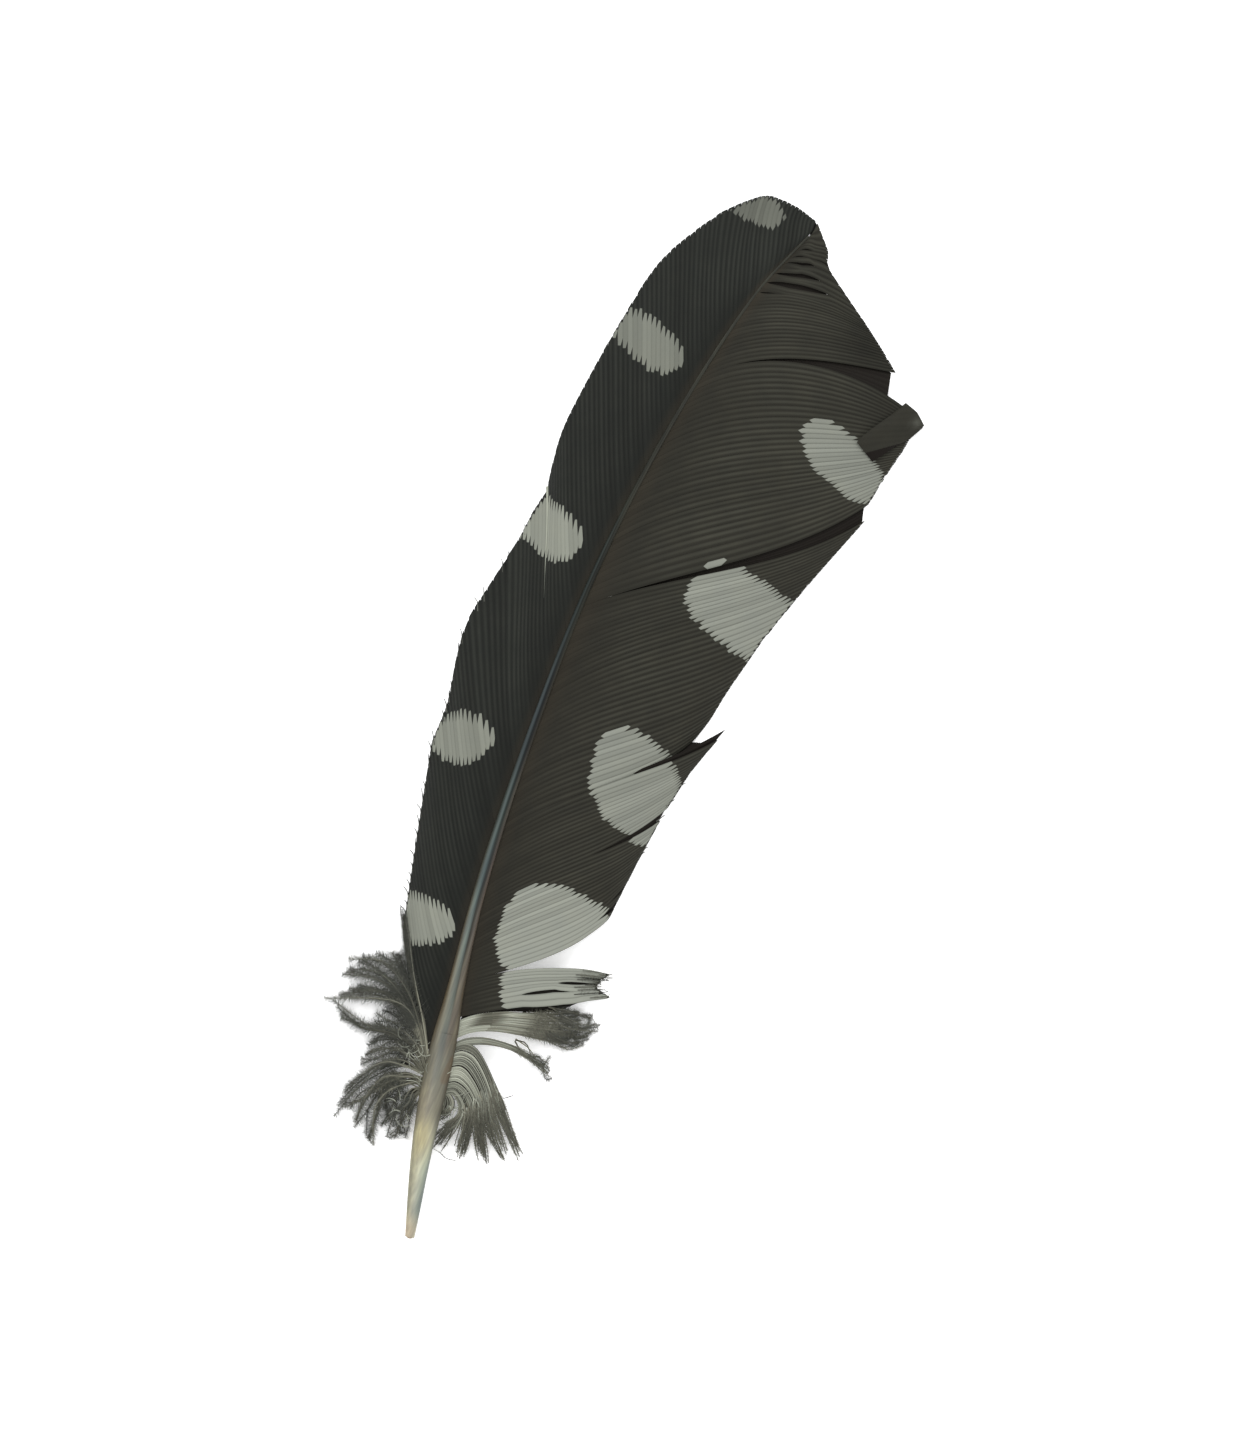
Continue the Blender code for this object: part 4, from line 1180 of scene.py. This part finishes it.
# ---------------------------------------------------------------- shaft
SHAFT_SIDES = 40


def shaft_rings(stations, radius, groove=0.0, ragged=None):
    """Round sections along the shaft, with an optional groove along its upper face."""
    turn = np.linspace(0, 2 * np.pi, SHAFT_SIDES, endpoint=False)
    stations = np.asarray(stations, float)[:, None] + (0 if ragged is None else ragged)
    stations = np.broadcast_to(stations, (len(stations), SHAFT_SIDES))
    radius = np.broadcast_to(np.asarray(radius, float)[:, None], stations.shape)
    dip = groove * np.exp(-((turn - np.pi / 2 + 0.12) / 0.26)**2)
    _, sideways, upward = axis_frames(stations)
    reach = (radius * (1 - dip))[..., None]
    points = axis_points(stations) + reach * (np.cos(turn)[:, None] * sideways
                                              + np.sin(turn)[:, None] * upward)
    return points, stations, np.broadcast_to(np.cos(turn), stations.shape)


def fix_to_shaft(piece, node):
    """The piece stands in for a node of the rigid shaft."""
    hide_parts(node)
    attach(piece, "shaft")


def make_barrel(material):
    """The hollow calamus, its lower end slightly ragged."""
    rng = random.Random(7)
    wobble = draws(SHAFT_SIDES, rng.uniform, -0.05, 0.10)
    places = np.concatenate([[0.0, 0.15, 0.3], np.arange(0.6, UMBILICUS_Y, 0.4), [UMBILICUS_Y]])
    radius = read_curve(SHAFT_RADIUS, places)
    ragged = np.clip(1 - places / 0.5, 0, 1)[:, None] * wobble[None]
    outside = shaft_rings(places, radius, ragged=ragged)
    inside = shaft_rings(places, radius - BARREL_WALL, ragged=ragged)
    points, station, girth = [np.concatenate([a, b[::-1]]) for a, b in zip(outside, inside)]
    sheaf = Sheaf()
    sheaf.add_loop(points, station=station, girth=girth)
    piece = sheaf.build("horn_barrel", material, sharp_degrees=50)
    fix_to_shaft(piece, "calamus_barrel")


def make_rachis(material):
    """The solid upper shaft round its pith: grooved along its upper face."""
    places = np.arange(UMBILICUS_Y + 0.005, SHAFT_LENGTH - 0.3, 0.5)
    radius = read_curve(SHAFT_RADIUS, places)
    outside = shaft_rings(places, radius, groove=0.24)
    hollow = places[places < PITH_END_Y]
    inside = shaft_rings(hollow, read_curve(SHAFT_RADIUS, hollow) - CORTEX_WALL)
    points, station, girth = [np.concatenate([a[::-1], b]) for a, b in zip(inside, outside)]
    sheaf = Sheaf()
    sheaf.add_tubes(points[None], station=station, girth=girth)
    piece = sheaf.build("horn_rachis", material, sharp_degrees=50)
    fix_to_shaft(piece, "rachis_cortex")


# ---------------------------------------------------------------- build
# the last colour of each vane look is the near-black painted shade of the dark lower layers
inner_look = barb_look("inner_vane_look", srgb(43, 42, 36), srgb(63, 63, 55), srgb(152, 155, 145),
                       srgb(112, 115, 106), srgb(22, 17, 14))
outer_look = barb_look("outer_vane_look", srgb(30, 32, 29), srgb(45, 47, 43), srgb(147, 150, 139),
                       srgb(134, 137, 126), srgb(18, 17, 16))
fluffy = down_look()

for number, lock_name in enumerate(LOCKS):
    inner = LOCKS[lock_name][0] == INNER
    lock = make_vane_lock(lock_name, (inner_look if inner else outer_look, fluffy), 100 + number)
    slot = "pale_vane" if lock_name == "inner_pale_lock_2" else "inner_vane" if inner else "outer_vane"
    bend_with(lock, lock_name)

for number, tuft_name in enumerate(LEFT_SPRAYS):
    bend_with(make_left_down(tuft_name, (inner_look, fluffy), 300 + number), tuft_name)

for number, lock_name in enumerate([*PALE_LOCKS, *HOOK_SPRAYS]):
    make = make_hooks if lock_name in HOOK_SPRAYS else make_pale_lock
    bend_with(make(lock_name, (inner_look, fluffy), 500 + number), lock_name)

horn = horn_look()
make_barrel(horn)
make_rachis(horn)

plug_look = dry_look("plug_look", (150, 118, 92), (188, 160, 132), 0.8)
cap_look = dry_look("pulp_cap_look", (176, 166, 138), (206, 198, 172), 0.6)
pith_look = dry_look("pith_look", (206, 202, 190), (228, 225, 214), 0.95)
for piece in list(bpy.data.objects):
    if piece.type == "MESH" and not piece.name.startswith(("barbs_", "down_", "horn_")):
        look = {"lower": plug_look, "pulp_": cap_look, "rachi": pith_look}.get(piece.name[:5])
        if look is not None:
            for slot in piece.material_slots:
                slot.material = look


# ---------------------------------------------------------------- the view
LEAN = 20.7                 # degrees that the feather leans clockwise in the view
VIEW_CENTRE = (1.58, 47.84)
VIEW_HEIGHT = 121.3         # millimetres from the top to the bottom of the view
VIEW_LEVEL = 1.5            # the height in the feather at which the view is that tall
LENS = 200.0
SENSOR = 36.0
WORLD_STRENGTH = 0.83 * EXPOSURE
KEY_PLACE = (-0.25, 0.42, 0.55)
KEY_SIZE = 0.45
KEY_ENERGY = 2.2 * EXPOSURE


def make_camera():
    """A long lens high above the feather, looking straight down."""
    data = bpy.data.cameras.new("camera")
    data.lens = LENS
    data.sensor_width = SENSOR
    data.clip_start = 0.01
    data.clip_end = 10
    camera = bpy.data.objects.new("camera", data)
    camera.location = world([*VIEW_CENTRE, VIEW_LEVEL + VIEW_HEIGHT * LENS / SENSOR])
    camera.rotation_euler = (0, 0, math.radians(LEAN))
    bpy.context.scene.collection.objects.link(camera)
    bpy.context.scene.camera = camera


def make_floor():
    """A plain pale floor, large enough for every view."""
    bpy.ops.mesh.primitive_plane_add(size=4)
    floor = bpy.context.object
    floor.name = "floor"
    n = Look("floor_look", roughness=0.9)
    n.colour(n.mix(n.noise(40.0, 2.0), (0.96, 0.96, 0.96, 1), (0.98, 0.98, 0.98, 1)))
    n.shader.inputs["Emission Color"].default_value = (1, 1, 1, 1)
    n.shader.inputs["Emission Strength"].default_value = 0.3
    floor.data.materials.append(n.material)


def make_light(name, place, size, energy):
    """A round soft light, aimed at the origin."""
    data = bpy.data.lights.new(name, "AREA")
    data.shape = "DISK"
    data.size = size
    data.energy = energy
    light = bpy.data.objects.new(name, data)
    light.location = place
    light.rotation_euler = Vector(place).to_track_quat("Z", "Y").to_euler()
    bpy.context.scene.collection.objects.link(light)


def make_world():
    """Even white light from all around."""
    studio = bpy.data.worlds.new("studio")
    studio.use_nodes = True
    background = studio.node_tree.nodes["Background"]
    background.inputs["Color"].default_value = (1, 1, 1, 1)
    background.inputs["Strength"].default_value = WORLD_STRENGTH
    bpy.context.scene.world = studio


make_camera()
make_floor()
make_world()
make_light("key_light", KEY_PLACE, KEY_SIZE, KEY_ENERGY)
bpy.context.scene.view_settings.view_transform = "Standard"
